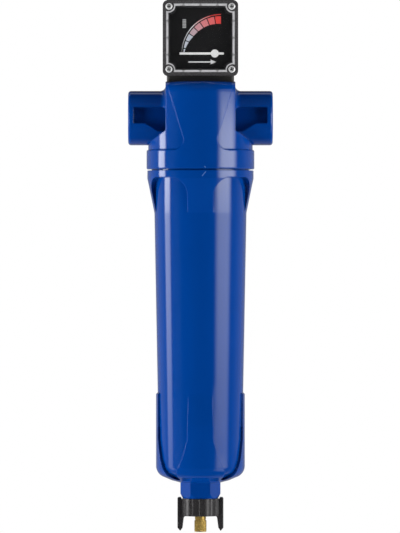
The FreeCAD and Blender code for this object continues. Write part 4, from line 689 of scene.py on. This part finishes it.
class FILTER_OT_finishes(bpy.types.Operator):
    """Makes the finishes and gives each CAD node its own"""

    bl_idname = "filter.finishes"
    bl_label = "Finishes"

    def execute(self, context):
        tint = colours()
        size = sizes()
        axis = BOWL_AXIS
        gauge = middle_of("gauge_body")
        heads = middle_of("bezel_screws")
        heads.y = box_of("gauge_bezel")[0].y
        # Where the cover screws' recesses lie, for the painted shade that darkens them.
        recess = (heads, size.screw_spacing / 2.0, size.screw_radius * 0.66, -0.8 * size.screw_height)
        cover = (middle_of("gauge_bezel"), COVER_OPENING, 5.5 * MM)
        finishes = (
            (enamel("gloss_enamel", tint.enamel, size.edge_radius), "head bowl"),
            (moulded("gauge_housing", tint.housing, 0.34, 0.4 * MM, 0.012 * MM, 0.8 * MM), "gauge_body"),
            (smoky_cover("smoky_cover", tint.bezel, tint.seal, *cover), "gauge_bezel"),
            # The wing nut's edges are lightened eightfold: a painted highlight.
            (moulded("nut_plastic", tint.nut, 0.18, 0.35 * MM, 0.006 * MM, 1.9 * MM, 8.0,
                     Specular_IOR_Level=1.0, Coat_Weight=1.0, Coat_Roughness=0.14), "drain_wing_nut"),
            (moulded("cap_plastic", (0.05, 0.05, 0.055), 0.36, 0.4 * MM, 0.012 * MM, 0.5 * MM),
             "element_top_cap element_bottom_cap"),
            (moulded("white_plastic", (0.72, 0.72, 0.68), 0.38, 0.3 * MM, 0.010 * MM, 0.3 * MM),
             "float_lever drain_strainer drain_body"),
            (rubber("black_rubber", (0.02, 0.02, 0.022)),
             "bowl_oring element_orings tap_orings plug_orings drain_oring nipple_oring valve_poppet"),
            (rubber("seal_rubber", (0.03, 0.03, 0.032)), "window_seal"),
            (pleated_fleece("filter_fleece", (0.80, 0.79, 0.73)), "pleated_media"),
            (perforated_steel("perforated_steel", (0.62, 0.62, 0.63)), "outer_cage inner_core"),
            (turned("drain_brass", tint.brass, 0.16, 2, axis, metallic=0.8), "drain_nipple valve_seat shaft_bush"),
            (closed_foam("float_foam", (0.80, 0.78, 0.70)), "float"),
            (turned("ground_steel", (0.62, 0.62, 0.63), 0.18, 1, gauge, 0.12 * MM), "lever_pin"),
            (turned("piston_aluminium", (0.70, 0.70, 0.71), 0.22, 0, gauge), "dp_piston high_side_plug low_side_plug"),
            (plated("blackened_steel", (0.03, 0.03, 0.033), 0.40, 0.3), "pointer_stops"),
            (plated("magnet_grey", (0.12, 0.12, 0.13), 0.42), "rotor_magnet piston_magnet"),
            (plated("spring_wire", (0.58, 0.58, 0.60), 0.24), "piston_spring"),
            (plated("screw_zinc", (0.92, 0.94, 0.95), 0.24, 0.4, recess), "bezel_screws"),
            (plated("fitting_zinc", (0.68, 0.70, 0.72), 0.24), "gauge_mount_screws"),
            (plated("washer_zinc", (0.60, 0.61, 0.62), 0.26), "clamp_washer"),
            (clear_window("window_clear", (0.04, 0.04, 0.04), 0.955), "gauge_window"),
            (coated("dial_black", tint.dial, 0.25 * MM, 20.0 * MM, 0.8, 1.25, 0.48, 0.16), "dial_plate"),
            (coated("pointer_white", (0.95, 0.95, 0.95), 0.9 * MM, 6.0 * MM, 0.94, 1.03, 0.32, 0.15, 0.2 * MM),
             "pointer pointer_shaft"),
        )
        for material, nodes in finishes:
            for node in nodes.split():
                dress(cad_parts[node], material)
        screen_ink("screen_ink")
        return {"FINISHED"}


def dress(part, material):
    """Gives every slot of a CAD node one material."""
    for slot in part.material_slots:
        slot.material = material
    if not part.material_slots:
        part.data.materials.append(material)


class FILTER_OT_port_threads(bpy.types.Operator):
    """Cuts the thread in both side ports"""

    bl_idname = "filter.port_threads"
    bl_label = "Port Threads"

    def execute(self, context):
        size = sizes()
        tree = thread_tree()
        lead_in = 1.9 * MM
        values = {
            "Root Radius": size.port_bore, "Ridge Height": -size.port_ridge, "Sink": -0.12 * MM,
            "Pitch": size.port_pitch, "Turns": size.port_depth / size.port_pitch,
            "Root Width": size.port_pitch * 0.84, "Crest Width": size.port_pitch * 0.14, "Run Out": 0.6, "Steps": 721}
        head_low, head_high = box_of("head")
        for side, face, label in ((1.0, head_low.x, "inlet"), (-1.0, head_high.x, "outlet")):
            turn = Matrix.Rotation(side * QUARTER, 4, "Y")
            place = Matrix.Translation((face + side * lead_in, BOWL_AXIS.y, 0.0)) @ turn
            grow_piece(label + "_port_thread", tree, values, place, "gloss_enamel", "head_group", "blue_paint")
        return {"FINISHED"}


class FILTER_OT_bowl_thread(bpy.types.Operator):
    """Winds the thread on the neck of the bowl"""

    bl_idname = "filter.bowl_thread"
    bl_label = "Bowl Thread"

    def execute(self, context):
        size = sizes()
        neck_foot = -41.0 * MM
        values = {
            "Root Radius": size.bowl_neck, "Ridge Height": size.bowl_ridge, "Sink": 0.1 * MM,
            "Pitch": size.bowl_pitch, "Turns": 2.9, "Root Width": size.bowl_pitch * 0.55,
            "Crest Width": size.bowl_pitch * 0.22, "Run Out": 0.12, "Steps": 641}
        place = Matrix.Translation(BOWL_AXIS + UP * neck_foot)
        grow_piece("bowl_neck_thread", thread_tree(), values, place, "gloss_enamel", "bowl_group", "blue_paint")
        return {"FINISHED"}


class FILTER_OT_seal_rings(bpy.types.Operator):
    """Turns the round seal rings of the bowl and of the element"""

    bl_idname = "filter.seal_rings"
    bl_label = "Seal Rings"

    def execute(self, context):
        low, high = box_of("bowl_oring")
        section = sizes().bowl_seal_section
        outline = ring_outline((high.x - low.x) / 2.0 - section, (low.z + high.z) / 2.0, section)
        piece = lathe("bowl_seal_ring", outline, BOWL_AXIS, 160)
        fit_piece(piece, "black_rubber", "seal_carrier", ("bowl_oring",))
        low, high = box_of("element_orings")
        section = 0.9 * MM
        radius = (high.x - low.x) / 2.0 - section
        for label, height in (("upper", high.z - section), ("lower", low.z + section)):
            piece = lathe(label + "_element_seal", ring_outline(radius, height, section, 16), BOWL_AXIS, 80)
            replaced = ("element_orings",) if label == "upper" else ()
            fit_piece(piece, "black_rubber", "element", replaced)
        return {"FINISHED"}


class FILTER_OT_drain_outlet(bpy.types.Operator):
    """Turns and knurls the brass outlet of the drain"""

    bl_idname = "filter.drain_outlet"
    bl_label = "Drain Outlet"

    def execute(self, context):
        size = sizes()
        low, high = box_of("drain_nipple")
        mouth = size.outlet_mouth
        neck = 4.45 * MM
        core = neck - 0.35 * MM
        collar_top = low.z + size.outlet_length
        outline = [
            (mouth + 0.35 * MM, low.z), (mouth, low.z + 0.4 * MM), (mouth, high.z), (neck, high.z),
            (neck, collar_top + 0.5 * MM), (core, collar_top + 0.2 * MM),
            (core, low.z + 0.2 * MM), (neck - 0.6 * MM, low.z)]
        body = lathe("drain_outlet_body", outline, BOWL_AXIS)
        fit_piece(body, "drain_brass", "nipple_group", ("drain_nipple",))
        values = {
            "Inner Radius": neck - 0.7 * MM, "Outer Radius": size.outlet_radius,
            "Length": size.outlet_length - 0.3 * MM, "Knurl Depth": size.knurl_depth,
            "Diamonds Around": 26.0, "Diamonds Along": 7.5, "Steps Around": 209}
        place = Matrix.Translation(BOWL_AXIS + UP * (low.z + 0.05 * MM))
        grow_piece("drain_outlet_knurl", knurl_tree(), values, place, "drain_brass", "nipple_group", "drain_brass")
        return {"FINISHED"}


class FILTER_OT_gauge_spring(bpy.types.Operator):
    """Fits a rigid copy of the gauge's spring that rides with the piston, though the real spring shortens against its
    plug
    """

    bl_idname = "filter.gauge_spring"
    bl_label = "Gauge Spring"

    def execute(self, context):
        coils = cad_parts["piston_spring"]
        mesh = coils.data.copy()
        mesh.name = "gauge_spring"
        mesh.transform(coils.matrix_world)
        shell_of(mesh)
        spring = new_piece("gauge_spring", mesh)
        fit_piece(spring, "spring_wire", "piston_group", ("piston_spring",))
        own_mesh(spring)
        return {"FINISHED"}


def cross_recess(name, reach, half_width, top, depth, taper=0.62):
    """The tapered cross that is cut in a screw head."""
    arm = ((half_width, half_width), (half_width, reach), (-half_width, reach))
    outline = []
    for quarter in range(4):
        turn = Matrix.Rotation(quarter * QUARTER, 2)
        outline += [turn @ Vector(point) for point in arm]
    corners = len(outline)
    vertices = [(point.x, point.y, top) for point in outline]
    vertices += [(point.x * taper, point.y * taper, top - depth) for point in outline]
    faces = [tuple(range(corners)), tuple(range(2 * corners - 1, corners - 1, -1))]
    for index in range(corners):
        after = (index + 1) % corners
        faces.append((index, after, corners + after, corners + index))
    return drawn_piece(name, vertices, faces)


def pan_screw(name, radius, height, shank_radius, shank_length):
    """A pan head screw with a cross recess, head up, its seat at height 0."""
    steps = 8
    dome = [(radius * math.cos(angle), height * (0.35 + 0.65 * math.sin(angle)))
            for angle in [QUARTER * step / steps for step in range(steps)]]
    core = 0.01 * MM
    outline = [(core, -shank_length), (shank_radius, -shank_length), (shank_radius, 0.0), (radius * 0.96, 0.0)]
    outline += dome + [(core, height)]
    head = lathe(name, outline, Vector((0.0, 0.0, 0.0)), 48)
    cutter = cross_recess(name + "_recess", radius * 0.62, radius * 0.19, height * 1.3, height * 1.1)
    cut = head.modifiers.new("recess", "BOOLEAN")
    cut.operation = "DIFFERENCE"
    cut.solver = "EXACT"
    cut.object = cutter
    settled(head)
    bpy.data.objects.remove(cutter)
    return head


class FILTER_OT_cover_screws(bpy.types.Operator):
    """Sets the four cross-recessed screws of the gauge cover"""

    bl_idname = "filter.cover_screws"
    bl_label = "Cover Screws"

    def execute(self, context):
        size = sizes()
        pattern = pan_screw("cover_screw_pattern", size.screw_radius, size.screw_height, 1.2 * MM, 7.0 * MM)
        middle = middle_of("bezel_screws")
        seat = box_of("gauge_bezel")[0].y
        place = Matrix.Translation((middle.x, seat, middle.z)) @ Matrix.Rotation(QUARTER, 4, "X")
        values = {"Piece": pattern, "Width": size.screw_spacing, "Depth": size.screw_spacing, "Seed": 5}
        fit = ("screw_zinc", "head_group", "screw_zinc", ("bezel_screws",))
        grow_piece("cover_screws", corner_tree(), values, place, *fit)
        bpy.data.objects.remove(pattern)
        return {"FINISHED"}


def arc_strip(centre, low, high, steps, radii):
    """The sides of a strip of the scale, whose radii follow the angle: 0 points left, a quarter turn up."""
    pairs = []
    for step in range(steps + 1):
        angle = low + (high - low) * step / steps
        left, up = math.cos(angle), math.sin(angle)
        pairs.append([(centre[0] - radius * left, centre[1] + radius * up) for radius in radii(angle)])
    return pairs


def between(first, second, share):
    """A colour between two colours."""
    return tuple(a + (b - a) * share for a, b in zip(first, second))


def scale_blocks(print_work, centre, outer, rise):
    """The coloured blocks of the scale, which widen and redden towards the top."""
    tint = colours()
    blocks = 8
    block, gap, start = math.radians(12.0), math.radians(1.6), math.radians(-4.0)

    def radii(angle):
        share = angle / QUARTER
        return outer, outer - (0.2 + 5.9 * share ** 0.42) * min(1.0, 0.45 + share * 1.6) * MM

    for index in range(blocks):
        low = max(start + index * block + gap / 2.0, math.radians(2.0))
        high = min(start + (index + 1) * block - gap / 2.0, QUARTER)
        warmth = min(1.0, max(0.0, (index - 2.0) / 5.0))
        ink = between(scaled(tint.calm, 1.0 - 0.28 * min(1.0, index / 3.0)), tint.alarm, warmth ** 0.9)
        print_work.add(arc_strip(centre, low, high, 6, radii), rise, ink)


def scale_line(print_work, centre, radius, rise):
    """The thin line that runs outside the blocks."""
    tint = colours()
    strips = 10

    def radii(angle):
        half = (0.28 + 0.05 * angle / QUARTER) * MM
        return radius + half, radius - half

    for index in range(strips):
        ink = between(scaled(tint.ink, 0.25), tint.ink, min(1.0, index / 4.0))
        ink = between(ink, tint.alarm, max(0.0, (index - 4.0) / 4.0) if index < 8 else 1.0)
        low, high = QUARTER * index / strips, QUARTER * (index + 1) / strips
        print_work.add(arc_strip(centre, low, high, 4, radii), rise, ink)


def flow_arrow(print_work, start, end, height, rise):
    """The arrow that shows which way the air flows."""
    ink = colours().ink
    neck = end - 4.2 * MM

    def across(place, half):
        return ((place, height + half), (place, height - half))

    shaft, barb, point = 0.5 * MM, 1.95 * MM, 0.04 * MM
    print_work.add([across(start, shaft), across(neck, shaft)], rise, ink)
    print_work.add([across(neck, barb), across(end, point)], rise, ink)


def ladder_marks(print_work, left, right, low, high, rise):
    """A small ladder of plain bars beside the scale."""
    ink = scaled(colours().ink, 0.62)
    bars = 6
    pitch = (high - low) / bars
    for index in range(bars):
        foot = low + index * pitch
        top = foot + pitch * 0.68
        print_work.add([((left, foot), (right, foot)), ((left, top), (right, top))], rise, ink)


class FILTER_OT_dial_print(bpy.types.Operator):
    """Prints the scale, the arrow and the ladder of marks on the dial"""

    bl_idname = "filter.dial_print"
    bl_label = "Dial Print"

    def execute(self, context):
        size = sizes()
        face = box_of("dial_plate")[0].y
        dial = middle_of("dial_plate")
        pivot = middle_of("pointer_shaft").z

        def on_dial(across, up, rise):
            return Vector((across, face - rise, up))

        print_work = Ribbons(on_dial)
        rise = size.print_rise
        centre_shift, line_gap = 16.3 * MM, 1.3 * MM
        centre = (dial.x + centre_shift, pivot)
        scale_blocks(print_work, centre, size.scale_radius, rise)
        scale_line(print_work, centre, size.scale_radius + line_gap, rise)
        tail, tip, drop = 9.6 * MM, 12.3 * MM, 6.7 * MM
        flow_arrow(print_work, dial.x - tail, dial.x + tip, pivot - drop, rise)
        left, width, foot, top = dial.x - 14.3 * MM, 2.9 * MM, 20.4 * MM, 27.6 * MM
        ladder_marks(print_work, left, left + width, pivot + foot, pivot + top, rise)
        fit_piece(print_work.piece("dial_print"), "screen_ink", "head_group")
        return {"FINISHED"}


class FILTER_OT_cover_lugs(bpy.types.Operator):
    """Moulds the small lugs that hold the window in the gauge cover"""

    bl_idname = "filter.cover_lugs"
    bl_label = "Cover Lugs"

    def execute(self, context):
        window = middle_of("gauge_window")
        front = box_of("gauge_window")[0].y
        reach, half, thickness, spacing = 1.1 * MM, 1.3 * MM, 0.7 * MM, 12.7 * MM

        def on_window(across, up, rise):
            return Vector((window.x + across, front - 0.02 * MM - rise, window.z + up))

        lugs = Ribbons(on_window)
        tone = colours().bezel
        for along in (-spacing, 0.0, spacing):
            for side in (-1.0, 1.0):
                root, tip = side * (COVER_OPENING + 0.3 * MM), side * (COVER_OPENING - reach)
                pairs = [((along - width, up), (along + width, up)) for width, up in ((half, root), (half * 0.7, tip))]
                lugs.add(pairs, thickness, tone)
                lugs.add([(left[::-1], right[::-1]) for left, right in pairs], thickness, tone)
        fit_piece(lugs.piece("cover_lugs"), "gauge_housing", "head_group")
        return {"FINISHED"}


class FILTER_OT_index_marks(bpy.types.Operator):
    """Sets the index marks that line up when the bowl is screwed home"""

    bl_idname = "filter.index_marks"
    bl_label = "Index Marks"

    def execute(self, context):
        ring_radius = 43.2 * MM
        collar_radius = 42.6 * MM
        width = sizes().mark_width / 2.0

        def wrapped(radius):
            def lay(across, up, rise):
                angle = across / radius
                out = radius + rise
                return BOWL_AXIS + Vector((out * math.sin(angle), -out * math.cos(angle), up))
            return lay

        # Each mark's ends are given in millimetres, round the surface from the dial's side and up.
        spots = (
            ("ring_index_mark", ring_radius, (3.1, -39.0), (4.1, -40.3), "head_group"),
            ("bowl_index_mark", collar_radius, (4.4, -43.4), (1.2, -47.0), "bowl_group"))
        for name, radius, first, last, body in spots:
            mark = Ribbons(wrapped(radius))
            start, end = Vector(first) * MM, Vector(last) * MM
            side = (end - start).normalized().orthogonal() * width
            points = [start.lerp(end, step / 4) for step in range(5)]
            pairs = [(tuple(point + side), tuple(point - side)) for point in points]
            mark.add(pairs, 0.12 * MM, colours().mark, sink=0.3 * MM)
            fit_piece(mark.piece(name), "screen_ink", body)
        return {"FINISHED"}


# Studio

def away_from_axis(heading, elevation, distance, height):
    """A way out from a height on the bowl's axis, and the place that far along it."""
    turn, rise = math.radians(heading), math.radians(elevation)
    away = Vector((math.sin(turn) * math.cos(rise), -math.cos(turn) * math.cos(rise), math.sin(rise)))
    return away, BOWL_AXIS + UP * height + away * distance


def faced(holder, place, way):
    """Puts a lamp or a panel in its place with its Z axis along a way."""
    holder.matrix_world = Matrix.Translation(place) @ way.to_track_quat("Z", "Y").to_matrix().to_4x4()


def softbox(name, heading, elevation, distance, middle_height, width, height, soft_edge, steps):
    """A glowing panel that the camera doesn't see, whose radiance changes in steps of height."""
    away, middle = away_from_axis(heading, elevation, distance, middle_height)
    half_width, half_height = width / 2.0, height / 2.0
    corners = [(-half_width, -half_height, 0), (half_width, -half_height, 0)]
    corners += [(half_width, half_height, 0), (-half_width, half_height, 0)]
    light = Finish(name + "_glow")
    across, up, _ = light.split(light.place)
    edge = light.sloped(abs(across), half_width, half_width * (1.0 - soft_edge))
    level = 0.0
    for start, end, radiance in steps:
        level = level + light.sloped(up, start - middle_height, end - middle_height, 0.0, radiance)
    panel = drawn_piece(name, corners, [(0, 1, 2, 3)], closed=False)
    panel.data.materials.append(light.shown(light.glow(edge * level)))
    faced(panel, middle, -away)
    panel.visible_camera = False
    panel.visible_shadow = False


def floor_disc(height, radius, rim, steps=64):
    """The pale floor, which reads as white and keeps the object's shadow."""
    angles = [TURN * step / steps for step in range(steps)]
    points = [(math.cos(angle) * radius, math.sin(angle) * radius, 0.0) for angle in angles]
    pale = Finish("studio_floor_paint")
    flat = pale.node("ShaderNodeVectorMath", {"operation": "LENGTH"}, {0: pale.place}, "Value")
    seen = pale.node("ShaderNodeLightPath", output="Is Camera Ray")
    share = seen * (0.62 + pale.sloped(flat, rim, radius) * 0.38)
    mottle = pale.mixed(pale.noise(0.02, 3.0), (0.80, 0.80, 0.80), (0.84, 0.84, 0.84))
    matt = pale.node("ShaderNodeBsdfDiffuse", inputs={"Color": mottle})
    surface = pale.node("ShaderNodeMixShader", inputs={0: share, 1: matt, 2: pale.glow(1.0)})
    disc = drawn_piece("studio_floor", points, [tuple(range(steps))], closed=False)
    disc.data.materials.append(pale.shown(surface))
    disc.location = BOWL_AXIS + UP * height
    disc.visible_glossy = False
    disc.visible_shadow = False


def fill_lamp(name, heading, elevation, watts, distance=3.0, side=2.4):
    """A broad square lamp that lifts the shade and shows in no gloss."""
    away, middle = away_from_axis(heading, elevation, distance, -0.12)
    lamp = bpy.data.lights.new(name, "AREA")
    lamp.size = side
    lamp.energy = watts
    holder = new_piece(name, lamp)
    faced(holder, middle, away)
    holder.visible_glossy = False
    holder.visible_camera = False


def studio_world(front, back):
    """White to the camera, through glass and in a narrow cone of gloss; a dim front and a pale back to the object."""
    world = bpy.data.worlds.new("studio_world")
    world.use_nodes = True
    world.node_tree.nodes.clear()
    sky = Graph(world.node_tree)
    _, depth, up = sky.split(sky.node("ShaderNodeTexCoord", output="Generated"))
    wall = sky.sloped(depth, -0.15, 0.75, front, back) * sky.sloped(up, 0.7, 0.1, 0.15, 1.0)
    path = sky.node("ShaderNodeLightPath", output="Is Camera Ray")
    gloss = path.other("Is Glossy Ray") * sky.sloped(depth, 0.985, 0.999)
    direct = (path + path.other("Is Transmission Ray") + gloss).clamped()
    strength = wall + (1.0 - wall) * direct
    light = sky.node("ShaderNodeBackground", inputs={"Color": WHITE, "Strength": strength})
    sky.node("ShaderNodeOutputWorld", inputs={"Surface": light})
    bpy.context.scene.world = world


class FILTER_OT_studio(bpy.types.Operator):
    """Sets the floor, the lights, the world and the camera"""

    bl_idname = "filter.studio"
    bl_label = "Studio"

    def execute(self, context):
        studio_world(front=0.006, back=0.25)
        floor_disc(height=-0.56, radius=1.5, rim=0.7)
        # Each step: the heights where it starts and ends, and by how much the radiance changes.
        left_steps = ((-1.7, -1.0, 1.0), (-0.42, -0.12, 1.7), (-0.12, 0.01, 4.1), (0.03, 0.085, -5.6))
        right_steps = ((-1.7, -1.0, 0.9), (-0.45, -0.12, 1.25), (-0.12, 0.01, 2.5), (0.03, 0.085, -3.9))
        # Heading, elevation, distance, height of the middle, width, height, soft edge and steps.
        softbox("left_strip", -91.0, 0.0, 1.5, -0.62, 0.56, 2.3, 0.3, left_steps)
        softbox("right_panel", 60.0, 0.0, 1.5, -0.52, 1.5, 2.4, 0.62, right_steps)
        softbox("top_panel", 180.0, 55.0, 1.6, 0.0, 2.4, 0.55, 0.3, ((-0.27, 0.0, 0.6),))
        # Heading, elevation and watts.
        fill_lamp("left_fill", -74.0, -14.0, 160.0)
        fill_lamp("right_fill", 74.0, -14.0, 122.0)
        fill_lamp("top_fill", 0.0, 58.0, 32.0)
        fill_lamp("low_fill", 0.0, -58.0, 14.0)
        # A long lens four metres off, level with the middle of what the photograph shows.
        camera = bpy.data.cameras.new("studio_camera")
        camera.lens = 337.0
        camera.clip_end = 20.0
        holder = new_piece("studio_camera", camera)
        holder.location = (BOWL_AXIS.x - 0.35 * MM, BOWL_AXIS.y - 4.0, -0.1188)
        holder.rotation_euler = (QUARTER, 0.0, 0.0)
        context.scene.camera = holder
        context.scene.view_settings.view_transform = "Standard"
        return {"FINISHED"}


class FILTER_PT_parts(bpy.types.Panel):
    """Lists the filter's pieces in the sidebar"""

    bl_label = "Air Filter"
    bl_idname = "FILTER_PT_parts"
    bl_space_type = "VIEW_3D"
    bl_region_type = "UI"
    bl_category = "Air Filter"

    def draw(self, context):
        for piece in PIECES:
            self.layout.operator(piece.bl_idname)
        for group in (context.scene.filter_sizes, context.scene.filter_colours):
            box = self.layout.box()
            for name in group.bl_rna.properties.keys():
                if name not in ("rna_type", "name"):
                    box.prop(group, name)


PIECES = (
    FILTER_OT_finishes,
    FILTER_OT_port_threads,
    FILTER_OT_bowl_thread,
    FILTER_OT_seal_rings,
    FILTER_OT_drain_outlet,
    FILTER_OT_gauge_spring,
    FILTER_OT_cover_screws,
    FILTER_OT_dial_print,
    FILTER_OT_cover_lugs,
    FILTER_OT_index_marks,
    FILTER_OT_studio,
)
CLASSES = (FilterSizes, FilterColours, *PIECES, FILTER_PT_parts)


def register():
    """Registers the classes and the two groups of settings."""
    for kind in CLASSES:
        bpy.utils.register_class(kind)
    bpy.types.Scene.filter_sizes = bpy.props.PointerProperty(type=FilterSizes)
    bpy.types.Scene.filter_colours = bpy.props.PointerProperty(type=FilterColours)


def unregister():
    """Takes the classes and settings away again."""
    del bpy.types.Scene.filter_colours
    del bpy.types.Scene.filter_sizes
    for kind in reversed(CLASSES):
        bpy.utils.unregister_class(kind)


def main():
    """Dresses the filter and lights it."""
    register()
    for piece in PIECES:
        group, name = piece.bl_idname.split(".")
        getattr(getattr(bpy.ops, group), name)()


if __name__ == "__main__":
    main()
